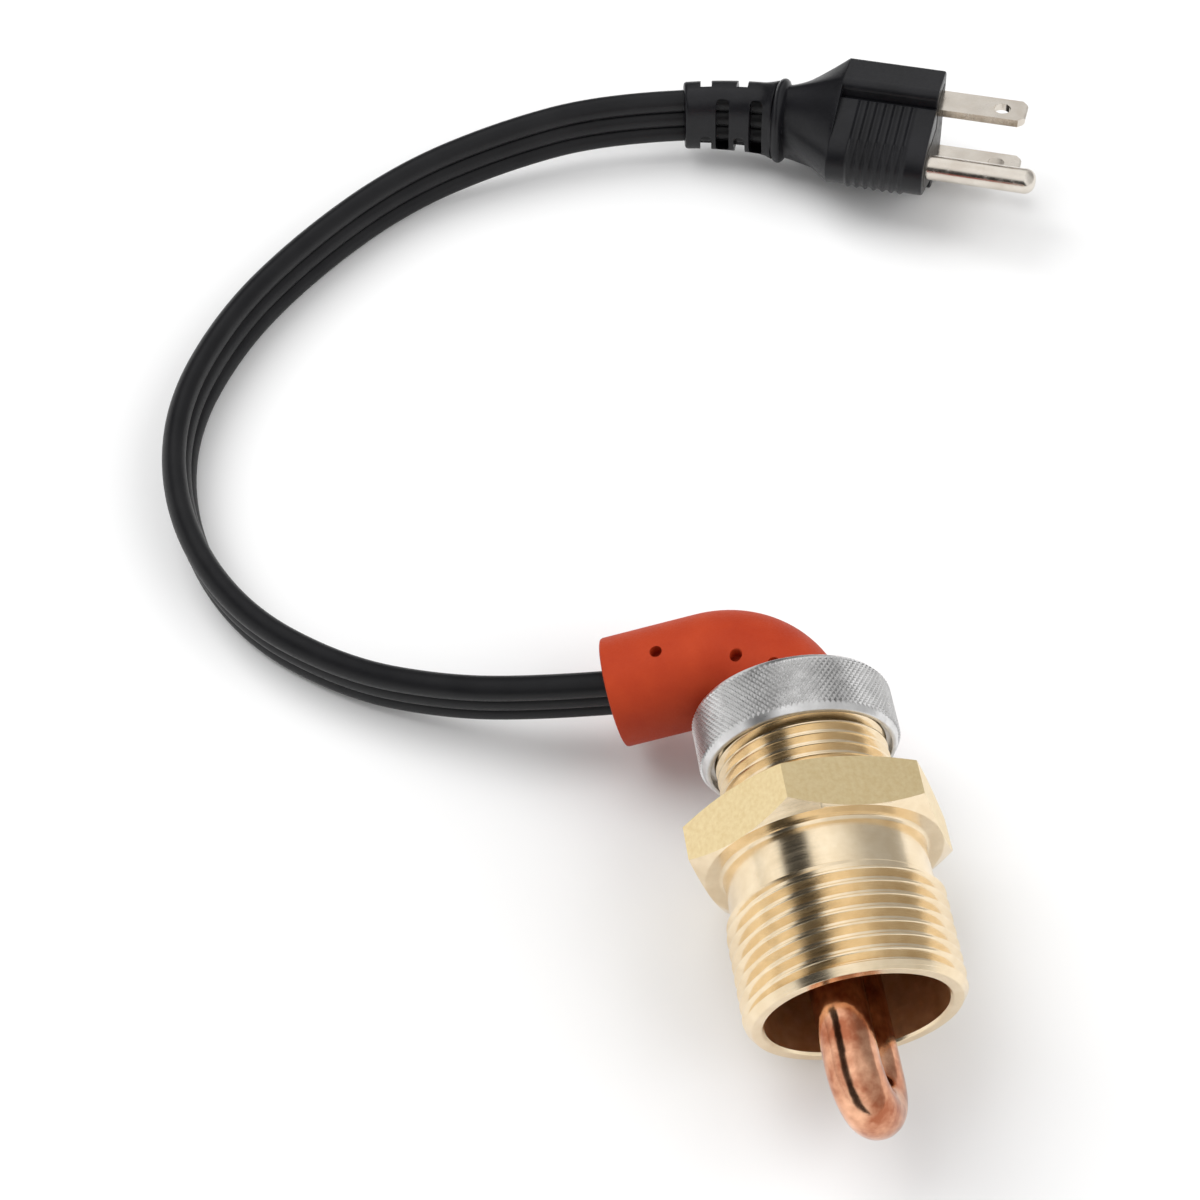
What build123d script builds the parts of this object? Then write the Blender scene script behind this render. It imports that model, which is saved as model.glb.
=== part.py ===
from build123d import *
import os
from math import cos, radians, sin, sqrt, tan

# Engine block heater: a brass screw-in body with a copper hairpin element, a knurled
# coupling ring, a rubber elbow boot, a flat cord and a moulded three-pin plug.
# Sizes are in millimetres. The heater's axis is Y, its mouth faces -Y and +Z is up.
# The origin is on that axis, at the last crest of the block thread.

# Clearances
slip = 0.05  # radial gap of a piece that slides or is pressed by hand
ring_running = 0.06  # radial gap between the body's upper crests and the ring
seat_gap = 0.10  # gap between faces that the coupling ring clamps together
moulded_gap = 0.02  # gap of a piece that is moulded or cast in place

# Brass body
block_crest_radius = 16.67  # 1 5/16-12 thread
block_pitch = 2.117
block_crest_count = 8
mouth_flat_radius = 15.6
mouth_chamfer = 1.4
mouth_inner_chamfer = 0.4
neck_radius = 15.45
neck_fillet = 0.8
sealing_face_y = 8.3
hex_across_flats = 36.5
hex_roll = -11.0  # degrees: one corner is down and the body lies on it
hex_length = 8.2
hex_front_chamfer_angle = 30.0
hex_back_chamfer_angle = 20.0
relief_radius = 12.3
relief_width = 1.3
upper_crest_radius = 13.5  # 1 1/16-14 thread
upper_pitch = 1.814
upper_crest_count = 8
rear_chamfer = 0.7
bore_radius = 13.7
bulkhead_front_y = 13.0
bulkhead_thickness = 7.0
socket_radius = 11.0
socket_chamfer = 0.4
thread_half_angle = 30.0
thread_depth_per_pitch = 0.6134
thread_land_per_pitch = 0.125

# Heating element
sheath_radius = 4.0
sheath_wall = 0.8
leg_offset = 5.6  # from the hairpin's middle to each leg's axis
hairpin_roll = 25.0  # degrees from vertical
hairpin_shift_x = -0.8
hairpin_tip_reach = 18.2  # past the mouth
leg_stand_out = 1.5  # past the bulkhead's back
braze_width = 1.4
coil_radius = 1.65
coil_wall = 0.55
cold_pin_end_y = -6.0
seal_length = 1.5
pin_radius = 1.2
pin_tip_chamfer = 0.4
ground_pin_offset = 6.0
ground_pin_root = 5.0
insulator_thickness = 4.5

# Connector insert and contacts
nose_radius = 10.6
nose_gap = 0.3
insert_waist_radius = 8.2
insert_length = 11.3
contact_radius = 1.65
contact_inset = 0.7
contact_back_wall = 0.7
pin_end_gap = 0.4
lead_radius = 1.2
lead_bend = 5.0

# Coupling ring
ring_length = 9.8
ring_radius = 15.9
ring_front_radius = 15.0
ring_front_bevel = 1.8
ring_back_radius = 15.3
ring_back_bevel = 0.7
ring_counterbore_radius = 14.3
ring_counterbore_depth = 1.0
lip_radial_gap = 0.2
lip_thickness = 2.1

# Elbow boot
flange_radius = 12.6
flange_thickness = 1.9
boot_neck_radius = 9.3
boot_arm_radius = 9.05
boot_bend_radius = 11.5
boot_corner_past_body = 14.8
boot_arm_length = 27.4
boot_arm_droop = 14.0  # degrees below level
dimple_radius = 1.0
dimple_depth = 2.4
dimple_places = ((18.3, 0.0), (6.0, -4.2), (0.4, -7.5))  # (along the arm, along Y) from the boot's corner
lead_to_cord_gap = 0.5

# Cord: three lobes, laid on edge
lobe_radius = 2.1
lobe_spacing = 3.5
cord_seat = 1.0  # how far the cord starts inside the boot's end
arc_share = 0.45  # of the shorter run beside a corner of the route
floor_z = -sqrt(4 / 3) * hex_across_flats / 2 * sin(radians(60 - hex_roll))

# Plug
plug_face = (54.6, 165.6, -7.0)
plug_heading = -24.1
plug_nose_up = 4.2
plug_roll = -7.1
blade_spacing = 12.7
blade_width = 6.35
blade_thickness = 1.52
blade_reach = 16.4
blade_corner = 1.2
blade_chamfer = 0.3
blade_hole_radius = 1.6
blade_hole_reach = 11.7
prong_radius = 2.38
prong_offset = 11.9
prong_reach = 20.7
prong_tip_fillet = 2.0
prong_tail_radius = 2.0
prong_shoulder = 0.3  # from the plug's face to where the prong's full radius starts
tail_length = 12.0
plug_lead_straight = 4.0
plug_lead_bend = 4.0
lead_arc_share = 0.99  # of the strain relief's bend, so that the lead's arc fits its runs
block_width = 22.6
block_thickness = 9.2
block_corner = 1.6
bulge_half_width = 8.0
bulge_radius = 5.5
bulge_root_thickness = 1.0
cover_length = 18.5
cone_length = 10.6
cone_end_width = 14.6
cone_end_thickness = 8.4
cone_end_corner = 1.6
cone_end_half_width = 5.0
cone_end_bulge_radius = 3.4
rib_count = 7
rib_pitch = 1.7
rib_first = 4.4
rib_thickness = 0.8
rib_height = 0.4
rib_start_offset = 6.4  # from the blades' middle line
collar_width = 17.5
collar_thickness = 12.5
collar_length = 2.8
collar_flat = 0.4  # straight part of each narrow side
relief_axis_offset = 4.2
relief_section_width = 13.5
relief_section_thickness = 8.7
relief_corner = 3.6
relief_bend_radius = 57.0
relief_turn = 18.0
bridge_width = 18.0
bridge_thickness = 7.2
bridge_corner = 1.2
bridge_depth = 6.0
bridge_boss_radius = 3.9
bridge_neck_width = 6.2
relief_side_windows = (0.17, 0.565)  # places along the strain relief, from the collar
relief_edge_notches = (0.365, 0.76)
relief_window_length = 2.4
relief_window_width = 11.0
relief_notch_width = 6.4
relief_core_thickness = 4.6
relief_core_width = 11.4

# Derived places along the heater's axis
block_depth = block_pitch * thread_depth_per_pitch
upper_depth = upper_pitch * thread_depth_per_pitch
flank_slope = tan(radians(thread_half_angle))
block_land = block_pitch * thread_land_per_pitch
upper_land = upper_pitch * thread_land_per_pitch
first_block_crest_y = -(block_crest_count - 1) * block_pitch
mouth_y = first_block_crest_y - block_land / 2 - mouth_chamfer
hex_back_y = sealing_face_y + hex_length
relief_end_y = hex_back_y + relief_width
upper_rise = (upper_crest_radius - relief_radius) * flank_slope
first_upper_crest_y = relief_end_y + upper_rise + upper_land / 2
last_upper_crest_y = first_upper_crest_y + (upper_crest_count - 1) * upper_pitch
body_rear_y = last_upper_crest_y + upper_land / 2 + rear_chamfer
bulkhead_back_y = bulkhead_front_y + bulkhead_thickness
leg_end_y = bulkhead_back_y + leg_stand_out
insulator_back_y = leg_end_y + insulator_thickness
nose_front_y = insulator_back_y + nose_gap
insert_back_y = nose_front_y + insert_length
contact_front_y = nose_front_y + contact_inset
pin_tip_y = insert_back_y - contact_back_wall - pin_end_gap
hairpin_bend_y = mouth_y - hairpin_tip_reach + sheath_radius + leg_offset
sheath_bore = sheath_radius - sheath_wall
hex_corner_radius = hex_across_flats / sqrt(3)
dimple_floor = boot_arm_radius - dimple_depth
cone_back = cover_length + cone_length
flange_front_y = body_rear_y + seat_gap
flange_back_y = flange_front_y + flange_thickness
lip_front_y = flange_back_y + seat_gap
ring_back_y = lip_front_y + lip_thickness
ring_front_y = ring_back_y - ring_length
boot_corner_y = body_rear_y + boot_corner_past_body
boot_bend_start_y = boot_corner_y - boot_bend_radius

# Directions of the hairpin's plane and of the boot's arm
hairpin_side = Vector(sin(radians(hairpin_roll)), 0, -cos(radians(hairpin_roll)))
hairpin_normal = Vector(cos(radians(hairpin_roll)), 0, sin(radians(hairpin_roll)))
hairpin_plane = Plane(origin=(hairpin_shift_x, 0, 0), x_dir=hairpin_side, z_dir=hairpin_normal)
arm_direction = Vector(-cos(radians(boot_arm_droop)), 0, -sin(radians(boot_arm_droop)))
arm_up = Vector(-sin(radians(boot_arm_droop)), 0, cos(radians(boot_arm_droop)))
boot_corner = Vector(0, boot_corner_y, 0)
cord_exit = boot_corner + arm_direction * boot_arm_length

# Where the legs and pins stand, as (x, z) across the heater's axis
leg_line = (hairpin_shift_x - hairpin_side.X * leg_offset, -hairpin_side.Z * leg_offset)
leg_neutral = (hairpin_shift_x + hairpin_side.X * leg_offset, hairpin_side.Z * leg_offset)
ground_place = (
    hairpin_shift_x + hairpin_normal.X * ground_pin_offset,
    hairpin_normal.Z * ground_pin_offset,
)
legs = [leg_line, leg_neutral]
pins = [leg_line, leg_neutral, ground_place]

# The plug's own frame: x across the blades, y towards the ground prong, z out of its face
plug_forward = Vector(1, 0, 0).rotate(Axis.Y, -plug_nose_up).rotate(Axis.Z, plug_heading)
plug_level_up = Vector(0, 0, 1).rotate(Axis.Y, -plug_nose_up).rotate(Axis.Z, plug_heading)
plug_up = plug_level_up.rotate(Axis((0, 0, 0), plug_forward), plug_roll)
plug = Plane(origin=plug_face, x_dir=plug_up, z_dir=plug_forward)
relief_start = plug.from_local_coords(Vector(0, relief_axis_offset, -cone_back - collar_length))
relief_plane = Plane(origin=relief_start, x_dir=-plug_forward, z_dir=plug_up)
relief_tangent = relief_bend_radius * tan(radians(relief_turn / 2))
relief_corner_point = relief_start - plug_forward * relief_tangent
relief_backward = (-plug_forward).rotate(Axis((0, 0, 0), plug_up), relief_turn)
relief_end = relief_corner_point + relief_backward * relief_tangent

# The cord's route, from the boot's end to the plug's strain relief
cord_first_run = Vector(-11.9, 1.7, -1.8)
cord_last_run = 16.0
cord_first = cord_exit + cord_first_run
cord_points = [
    cord_exit - cord_first_run.normalized() * cord_seat,
    cord_first,
    Vector(-53.5, 52.5, -11.0),
    Vector(-69.8, 60.2, -13.7),
    Vector(-86.6, 74.3, -14.3),
    Vector(-95.9, 95.2, -14.3),
    Vector(-95.8, 118.4, -14.3),
    Vector(-85.4, 139.6, -14.3),
    Vector(-70.0, 156.6, -14.3),
    Vector(-50.5, 171.7, -14.1),
    Vector(-29.5, 178.1, -11.7),
    relief_end + relief_backward * cord_last_run,
    relief_end,
]


def across(y):
    """A sketch plane across the heater's axis: x is X, y is Z, and it faces the mouth."""
    return Plane.XZ.offset(-y)


def thread_outline(crest, depth, pitch, land, first_y, count):
    """Points (radius, y) along the crests and V grooves of a thread, mouth end first."""
    flank = depth * flank_slope
    outline = []
    for turn in range(count):
        middle = first_y + turn * pitch
        if turn > 0:
            outline.append((crest - depth, middle - land / 2 - flank))
        outline.append((crest, middle - land / 2))
        outline.append((crest, middle + land / 2))
        if turn < count - 1:
            outline.append((crest - depth, middle + land / 2 + flank))
    return outline


def corner_radii(points):
    """The largest arc that each corner's two runs allow."""
    radii = []
    for before, corner, after in zip(points, points[1:], points[2:]):
        turn = (corner - before).get_angle(after - corner)
        shorter = min((corner - before).length, (after - corner).length)
        radii.append(arc_share * shorter / tan(radians(turn) / 2))
    return radii


def round_wire(points, radii, radius):
    """A round wire along straight runs joined by tangent arcs."""
    with BuildPart() as wire:
        with BuildLine() as route:
            FilletPolyline(*points, radius=radii)
        with BuildSketch(Plane(origin=route.line @ 0, z_dir=route.line % 0)):
            Circle(radius)
        sweep(path=route.line)
    return wire.part


def axial_rod(place, start_y, end_y, radius, tip=0.0):
    """A rod along Y at one (x, z) place, with its far end chamfered by tip."""
    with BuildPart() as rod:
        with BuildSketch(across(start_y)):
            with Locations(place):
                Circle(radius)
        extrude(amount=start_y - end_y)
        if tip > 0:
            chamfer(rod.faces().sort_by(Axis.Y)[-1].edges(), tip)
    return rod.part


def plug_body_section(length_back, width, thickness, corner, half_width, radius, prong):
    """One half of the cover's section at a distance behind the face: block, then bulge."""
    with BuildSketch(plug.offset(-length_back)) as block_half:
        RectangleRounded(width, thickness, corner)
    with BuildSketch(plug.offset(-length_back)) as bulge_half:
        with Locations((0, relief_axis_offset)):
            Rectangle(2 * half_width, bulge_root_thickness)
        with Locations((0, prong)):
            Circle(radius)
        make_hull()
    return block_half.sketch, bulge_half.sketch


# Brass body: turned from hexagonal bar
with BuildPart() as brass_body:
    with BuildSketch(across(sealing_face_y)):
        RegularPolygon(hex_across_flats / 2, 6, major_radius=False, rotation=hex_roll)
    extrude(amount=-hex_length)
    with BuildSketch(Plane.XY):
        with BuildLine():
            flat_radius = hex_across_flats / 2
            corner_rise = hex_corner_radius - flat_radius
            front_rise = corner_rise * tan(radians(hex_front_chamfer_angle))
            back_rise = corner_rise * tan(radians(hex_back_chamfer_angle))
            Polyline(
                (0, sealing_face_y),
                (flat_radius, sealing_face_y),
                (hex_corner_radius, sealing_face_y + front_rise),
                (hex_corner_radius, hex_back_y - back_rise),
                (flat_radius, hex_back_y),
                (0, hex_back_y),
                close=True,
            )
        make_face()
    revolve(axis=Axis.Y, mode=Mode.INTERSECT)
    with BuildSketch(Plane.XY):
        with BuildLine():
            neck_start_y = block_land / 2 + (block_crest_radius - neck_radius) * flank_slope
            Polyline(
                (0, mouth_y),
                (mouth_flat_radius, mouth_y),
                *thread_outline(
                    block_crest_radius,
                    block_depth,
                    block_pitch,
                    block_land,
                    first_block_crest_y,
                    block_crest_count,
                ),
                (neck_radius, neck_start_y),
                (neck_radius, sealing_face_y - neck_fillet),
            )
            CenterArc(
                (neck_radius + neck_fillet, sealing_face_y - neck_fillet), neck_fillet, 180, -90
            )
            Polyline(
                (neck_radius + neck_fillet, sealing_face_y),
                (neck_radius + neck_fillet, hex_back_y),
                (relief_radius, hex_back_y),
                (relief_radius, relief_end_y),
                *thread_outline(
                    upper_crest_radius,
                    upper_depth,
                    upper_pitch,
                    upper_land,
                    first_upper_crest_y,
                    upper_crest_count,
                ),
                (upper_crest_radius - rear_chamfer, body_rear_y),
                (0, body_rear_y),
                (0, mouth_y),
            )
        make_face()
    revolve(axis=Axis.Y)
    with BuildSketch(Plane.XY):
        with BuildLine():
            Polyline(
                (0, mouth_y),
                (bore_radius + mouth_inner_chamfer, mouth_y),
                (bore_radius, mouth_y + mouth_inner_chamfer),
                (bore_radius, bulkhead_front_y),
                (0, bulkhead_front_y),
                close=True,
            )
        make_face()
    revolve(axis=Axis.Y, mode=Mode.SUBTRACT)
    with BuildSketch(Plane.XY):
        with BuildLine():
            Polyline(
                (0, body_rear_y),
                (socket_radius + socket_chamfer, body_rear_y),
                (socket_radius, body_rear_y - socket_chamfer),
                (socket_radius, bulkhead_back_y),
                (0, bulkhead_back_y),
                close=True,
            )
        make_face()
    revolve(axis=Axis.Y, mode=Mode.SUBTRACT)
    with BuildSketch(across(bulkhead_front_y)):
        with Locations(*legs):
            Circle(sheath_radius + slip)
    extrude(amount=-bulkhead_thickness, mode=Mode.SUBTRACT)
    with BuildSketch(across(bulkhead_back_y)):
        with Locations(ground_place):
            Circle(pin_radius + moulded_gap)
    extrude(amount=ground_pin_root, mode=Mode.SUBTRACT)

# Element sheath: one copper tube bent into a hairpin
with BuildPart() as element_sheath:
    with BuildLine(hairpin_plane) as hairpin:
        Line((-leg_offset, leg_end_y), (-leg_offset, hairpin_bend_y))
        CenterArc((0, hairpin_bend_y), leg_offset, 180, 180)
        Line((leg_offset, hairpin_bend_y), (leg_offset, leg_end_y))
    with BuildSketch(Plane(origin=hairpin.line @ 0, z_dir=hairpin.line % 0)):
        Circle(sheath_radius)
        Circle(sheath_bore, mode=Mode.SUBTRACT)
    sweep(path=hairpin.line)

# Powder packed round the coil, and the powder core inside it
with BuildPart() as magnesia_fill:
    with BuildLine(hairpin_plane) as fill_path:
        Line((-leg_offset, leg_end_y - seal_length), (-leg_offset, hairpin_bend_y))
        CenterArc((0, hairpin_bend_y), leg_offset, 180, 180)
        Line((leg_offset, hairpin_bend_y), (leg_offset, leg_end_y - seal_length))
    with BuildSketch(Plane(origin=fill_path.line @ 0, z_dir=fill_path.line % 0)):
        Circle(sheath_bore - moulded_gap)
        Circle(coil_radius + moulded_gap, mode=Mode.SUBTRACT)
    sweep(path=fill_path.line)
    with BuildLine(hairpin_plane) as core_path:
        Line((-leg_offset, cold_pin_end_y), (-leg_offset, hairpin_bend_y))
        CenterArc((0, hairpin_bend_y), leg_offset, 180, 180)
        Line((leg_offset, hairpin_bend_y), (leg_offset, cold_pin_end_y))
    with BuildSketch(Plane(origin=core_path.line @ 0, z_dir=core_path.line % 0)):
        Circle(coil_radius - coil_wall - moulded_gap)
    sweep(path=core_path.line)

# Resistance coil: the envelope of the close-wound wire
with BuildPart() as resistance_coil:
    with BuildLine(hairpin_plane) as coil_path:
        Line((-leg_offset, cold_pin_end_y), (-leg_offset, hairpin_bend_y))
        CenterArc((0, hairpin_bend_y), leg_offset, 180, 180)
        Line((leg_offset, hairpin_bend_y), (leg_offset, cold_pin_end_y))
    with BuildSketch(Plane(origin=coil_path.line @ 0, z_dir=coil_path.line % 0)):
        Circle(coil_radius)
        Circle(coil_radius - coil_wall, mode=Mode.SUBTRACT)
    sweep(path=coil_path.line)


def terminal_pin(leg):
    """A thick cold pin inside the sheath that steps down to the contact pin."""
    with BuildPart() as pin:
        add(axial_rod(leg, cold_pin_end_y, leg_end_y, coil_radius))
        add(axial_rod(leg, leg_end_y, pin_tip_y, pin_radius, pin_tip_chamfer))
    return pin


terminal_pin_line = terminal_pin(leg_line)
terminal_pin_neutral = terminal_pin(leg_neutral)

# Ground pin: pressed into the back of the bulkhead
with BuildPart() as ground_pin:
    add(axial_rod(ground_place, bulkhead_back_y - ground_pin_root, pin_tip_y, pin_radius, pin_tip_chamfer))

# Silver-braze fillets where the legs leave the bulkhead
with BuildPart() as braze_fillets:
    with BuildSketch(across(bulkhead_front_y)):
        with Locations(*legs):
            Circle(sheath_radius + braze_width)
    extrude(amount=braze_width - slip, taper=45)
    with BuildSketch(across(bulkhead_front_y)):
        with Locations(*legs):
            Circle(sheath_radius + moulded_gap)
    extrude(amount=braze_width, mode=Mode.SUBTRACT)

# Seals in the open ends of the sheath
with BuildPart() as element_seals:
    with BuildSketch(across(leg_end_y)):
        with Locations(*legs):
            Circle(sheath_bore - moulded_gap)
            Circle(coil_radius + moulded_gap, mode=Mode.SUBTRACT)
    extrude(amount=seal_length)

# Terminal insulator: a disc on the ends of the legs
with BuildPart() as terminal_insulator:
    with BuildSketch(across(leg_end_y)):
        Circle(socket_radius - slip)
        with Locations(*pins):
            Circle(pin_radius + moulded_gap, mode=Mode.SUBTRACT)
    extrude(amount=-insulator_thickness)

# Socket insert: nose in the body's socket, waist in the boot
waist_front_y = body_rear_y
with BuildPart() as socket_insert:
    with BuildSketch(Plane.XY):
        with BuildLine():
            Polyline(
                (0, nose_front_y),
                (nose_radius - socket_chamfer, nose_front_y),
                (nose_radius, nose_front_y + socket_chamfer),
                (nose_radius, waist_front_y),
                (insert_waist_radius, waist_front_y),
                (insert_waist_radius, insert_back_y),
                (0, insert_back_y),
                close=True,
            )
        make_face()
    revolve(axis=Axis.Y)
    with BuildSketch(across(nose_front_y)):
        with Locations(*pins):
            Circle(contact_radius + moulded_gap)
    extrude(amount=-insert_length, mode=Mode.SUBTRACT)


def socket_contact(place):
    """A drilled brass contact that a pin slides into."""
    with BuildPart() as contact:
        add(axial_rod(place, contact_front_y, insert_back_y, contact_radius))
        bore_length = insert_back_y - contact_back_wall - contact_front_y
        add(
            axial_rod(place, contact_front_y, contact_front_y + bore_length, pin_radius + slip),
            mode=Mode.SUBTRACT,
        )
    return contact


contact_line = socket_contact(leg_line)
contact_neutral = socket_contact(leg_neutral)
contact_ground = socket_contact(ground_place)


def boot_lead_points(place, lobe):
    """From a contact's back, along Y, then down the arm to one lobe of the cord."""
    end = cord_exit + arm_up * lobe * lobe_spacing - arm_direction * (cord_seat + lead_to_cord_gap)
    return [Vector(place[0], insert_back_y, place[1]), Vector(place[0], boot_corner_y, place[1]), end]


def boot_lead(place, lobe, radius):
    """One insulated lead inside the boot."""
    return round_wire(boot_lead_points(place, lobe), [lead_bend], radius)


boot_lead_places = [(leg_line, 1), (ground_place, 0), (leg_neutral, -1)]
with BuildPart() as lead_line:
    add(boot_lead(*boot_lead_places[0], lead_radius))
with BuildPart() as lead_ground:
    add(boot_lead(*boot_lead_places[1], lead_radius))
with BuildPart() as lead_neutral:
    add(boot_lead(*boot_lead_places[2], lead_radius))

# Elbow boot: moulded over the insert and the leads, with a flange under the ring's lip
with BuildPart() as elbow_boot:
    with BuildSketch(across(flange_front_y)):
        Circle(flange_radius)
    extrude(amount=-flange_thickness)
    with BuildSketch(across(flange_front_y)):
        Circle(boot_neck_radius)
    extrude(amount=flange_front_y - boot_bend_start_y)
    bend_plane = Plane(origin=(0, boot_bend_start_y, 0), x_dir=arm_direction, z_dir=-arm_up)
    with BuildLine(bend_plane) as bend:
        CenterArc((boot_bend_radius, 0), boot_bend_radius, 180, -90)
    bend_start = Plane(origin=bend.line @ 0, z_dir=bend.line % 0)
    bend_end = Plane(origin=bend.line @ 1, z_dir=bend.line % 1)
    with BuildSketch(bend_start):
        Circle(boot_neck_radius)
    with BuildSketch(bend_end):
        Circle(boot_arm_radius)
    sweep(path=bend.line, multisection=True)
    with BuildSketch(bend_end):
        Circle(boot_arm_radius)
    extrude(amount=boot_arm_length - boot_bend_radius)
    with BuildSketch(across(flange_front_y)):
        Circle(insert_waist_radius + slip)
    extrude(amount=flange_front_y - insert_back_y, mode=Mode.SUBTRACT)
    for place, lobe in boot_lead_places:
        add(boot_lead(place, lobe, lead_radius + moulded_gap), mode=Mode.SUBTRACT)
    for along_arm, along_y in dimple_places:
        dimple_axis = boot_corner + arm_direction * along_arm + Vector(0, along_y, 0)
        dimple_bottom = dimple_axis + arm_up * dimple_floor
        with BuildSketch(Plane(origin=dimple_bottom, x_dir=arm_direction, z_dir=arm_up)):
            Circle(dimple_radius)
        extrude(amount=boot_neck_radius, mode=Mode.SUBTRACT)

# Coupling ring: knurled outside, with a lip behind the boot's flange
with BuildPart() as coupling_ring:
    thread_clear_radius = upper_crest_radius + ring_running
    with BuildSketch(Plane.XY):
        with BuildLine():
            Polyline(
                (ring_counterbore_radius, ring_front_y),
                (ring_front_radius, ring_front_y),
                (ring_radius, ring_front_y + ring_front_bevel),
                (ring_radius, ring_back_y - ring_back_bevel),
                (ring_back_radius, ring_back_y),
                (boot_neck_radius + lip_radial_gap, ring_back_y),
                (boot_neck_radius + lip_radial_gap, lip_front_y),
                (thread_clear_radius, lip_front_y),
                (thread_clear_radius, ring_front_y + ring_counterbore_depth),
                (ring_counterbore_radius, ring_front_y + ring_counterbore_depth),
                close=True,
            )
        make_face()
    revolve(axis=Axis.Y)

# Power cord: one flat length on edge
cord_radii = corner_radii(cord_points)
with BuildPart() as power_cord:
    with BuildLine() as cord_route:
        FilletPolyline(*cord_points, radius=cord_radii)
    cord_side = (cord_route.line % 0).cross(Vector(0, 0, 1))
    cord_start = Plane(origin=cord_route.line @ 0, x_dir=cord_side, z_dir=cord_route.line % 0)
    with BuildSketch(cord_start) as cord_section:
        with Locations((0, -lobe_spacing), (0, 0), (0, lobe_spacing)):
            Circle(lobe_radius)
    sweep(path=cord_route.line)


def plug_blade(offset):
    """A flat blade through the plug's face, with a tail inside and a hole near its tip."""
    with BuildPart() as blade:
        with BuildSketch(plug.offset(-tail_length)):
            with Locations((offset, 0)):
                Rectangle(blade_thickness, blade_width)
        extrude(amount=tail_length + blade_reach)
        tip = blade.faces().sort_by(Axis(plug.origin, plug.z_dir))[-1]
        chamfer(tip.edges().filter_by(Axis(plug.origin, plug.x_dir)), blade_corner)
        tip = blade.faces().sort_by(Axis(plug.origin, plug.z_dir))[-1]
        chamfer(tip.edges().filter_by(Axis(plug.origin, plug.y_dir)), blade_chamfer)
        hole_centre = plug.from_local_coords(Vector(offset, 0, blade_hole_reach))
        with BuildSketch(Plane(origin=hole_centre, z_dir=plug.x_dir)):
            Circle(blade_hole_radius)
        extrude(amount=blade_thickness, both=True, mode=Mode.SUBTRACT)
    return blade


blade_line = plug_blade(blade_spacing / 2)
blade_neutral = plug_blade(-blade_spacing / 2)

# Ground prong: a round pin with a thinner tail in the cover
with BuildPart() as ground_prong:
    with BuildSketch(plug.offset(-tail_length)):
        with Locations((0, prong_offset)):
            Circle(prong_tail_radius)
    extrude(amount=tail_length + prong_shoulder)
    with BuildSketch(plug.offset(prong_shoulder)):
        with Locations((0, prong_offset)):
            Circle(prong_radius)
    extrude(amount=prong_reach - prong_shoulder)
    prong_tip = ground_prong.faces().sort_by(Axis(plug.origin, plug.z_dir))[-1]
    fillet(prong_tip.edges(), prong_tip_fillet)


def plug_lead(start_x, start_y, lobe, radius):
    """One insulated lead from a blade's tail to its lobe at the strain relief's end."""
    across_lobe = plug.x_dir * lobe * lobe_spacing
    points = [
        plug.from_local_coords(Vector(start_x, start_y, -tail_length)),
        plug.from_local_coords(Vector(start_x, start_y, -tail_length - plug_lead_straight)),
        plug.from_local_coords(Vector(lobe * lobe_spacing, relief_axis_offset, -cone_back)),
        relief_corner_point + across_lobe,
        relief_end + across_lobe,
    ]
    return round_wire(points, [plug_lead_bend, plug_lead_bend, relief_bend_radius * lead_arc_share], radius)


plug_lead_places = [
    (blade_spacing / 2, 0.0, 1),
    (0.0, prong_offset, 0),
    (-blade_spacing / 2, 0.0, -1),
]
with BuildPart() as plug_lead_line:
    add(plug_lead(*plug_lead_places[0], lead_radius))
with BuildPart() as plug_lead_ground:
    add(plug_lead(*plug_lead_places[1], lead_radius))
with BuildPart() as plug_lead_neutral:
    add(plug_lead(*plug_lead_places[2], lead_radius))


def bridge_sketch(clearance):
    """The bridge's outline in the plug's face: a bar across the blades and a round boss."""
    with BuildSketch(plug) as outline:
        RectangleRounded(
            bridge_width + 2 * clearance, bridge_thickness + 2 * clearance, bridge_corner
        )
        with Locations((0, prong_offset / 2)):
            Rectangle(bridge_neck_width + 2 * clearance, prong_offset)
        with Locations((0, prong_offset)):
            Circle(bridge_boss_radius + clearance)
    return outline.sketch


# Bridge: holds the blades and the prong, flush with the plug's face
with BuildPart() as plug_bridge:
    extrude(bridge_sketch(0.0), amount=-bridge_depth)
    with BuildSketch(plug):
        with Locations((blade_spacing / 2, 0), (-blade_spacing / 2, 0)):
            Rectangle(blade_thickness + 2 * moulded_gap, blade_width + 2 * moulded_gap)
        with Locations((0, prong_offset)):
            Circle(prong_tail_radius + moulded_gap)
    extrude(amount=-bridge_depth, mode=Mode.SUBTRACT)

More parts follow.
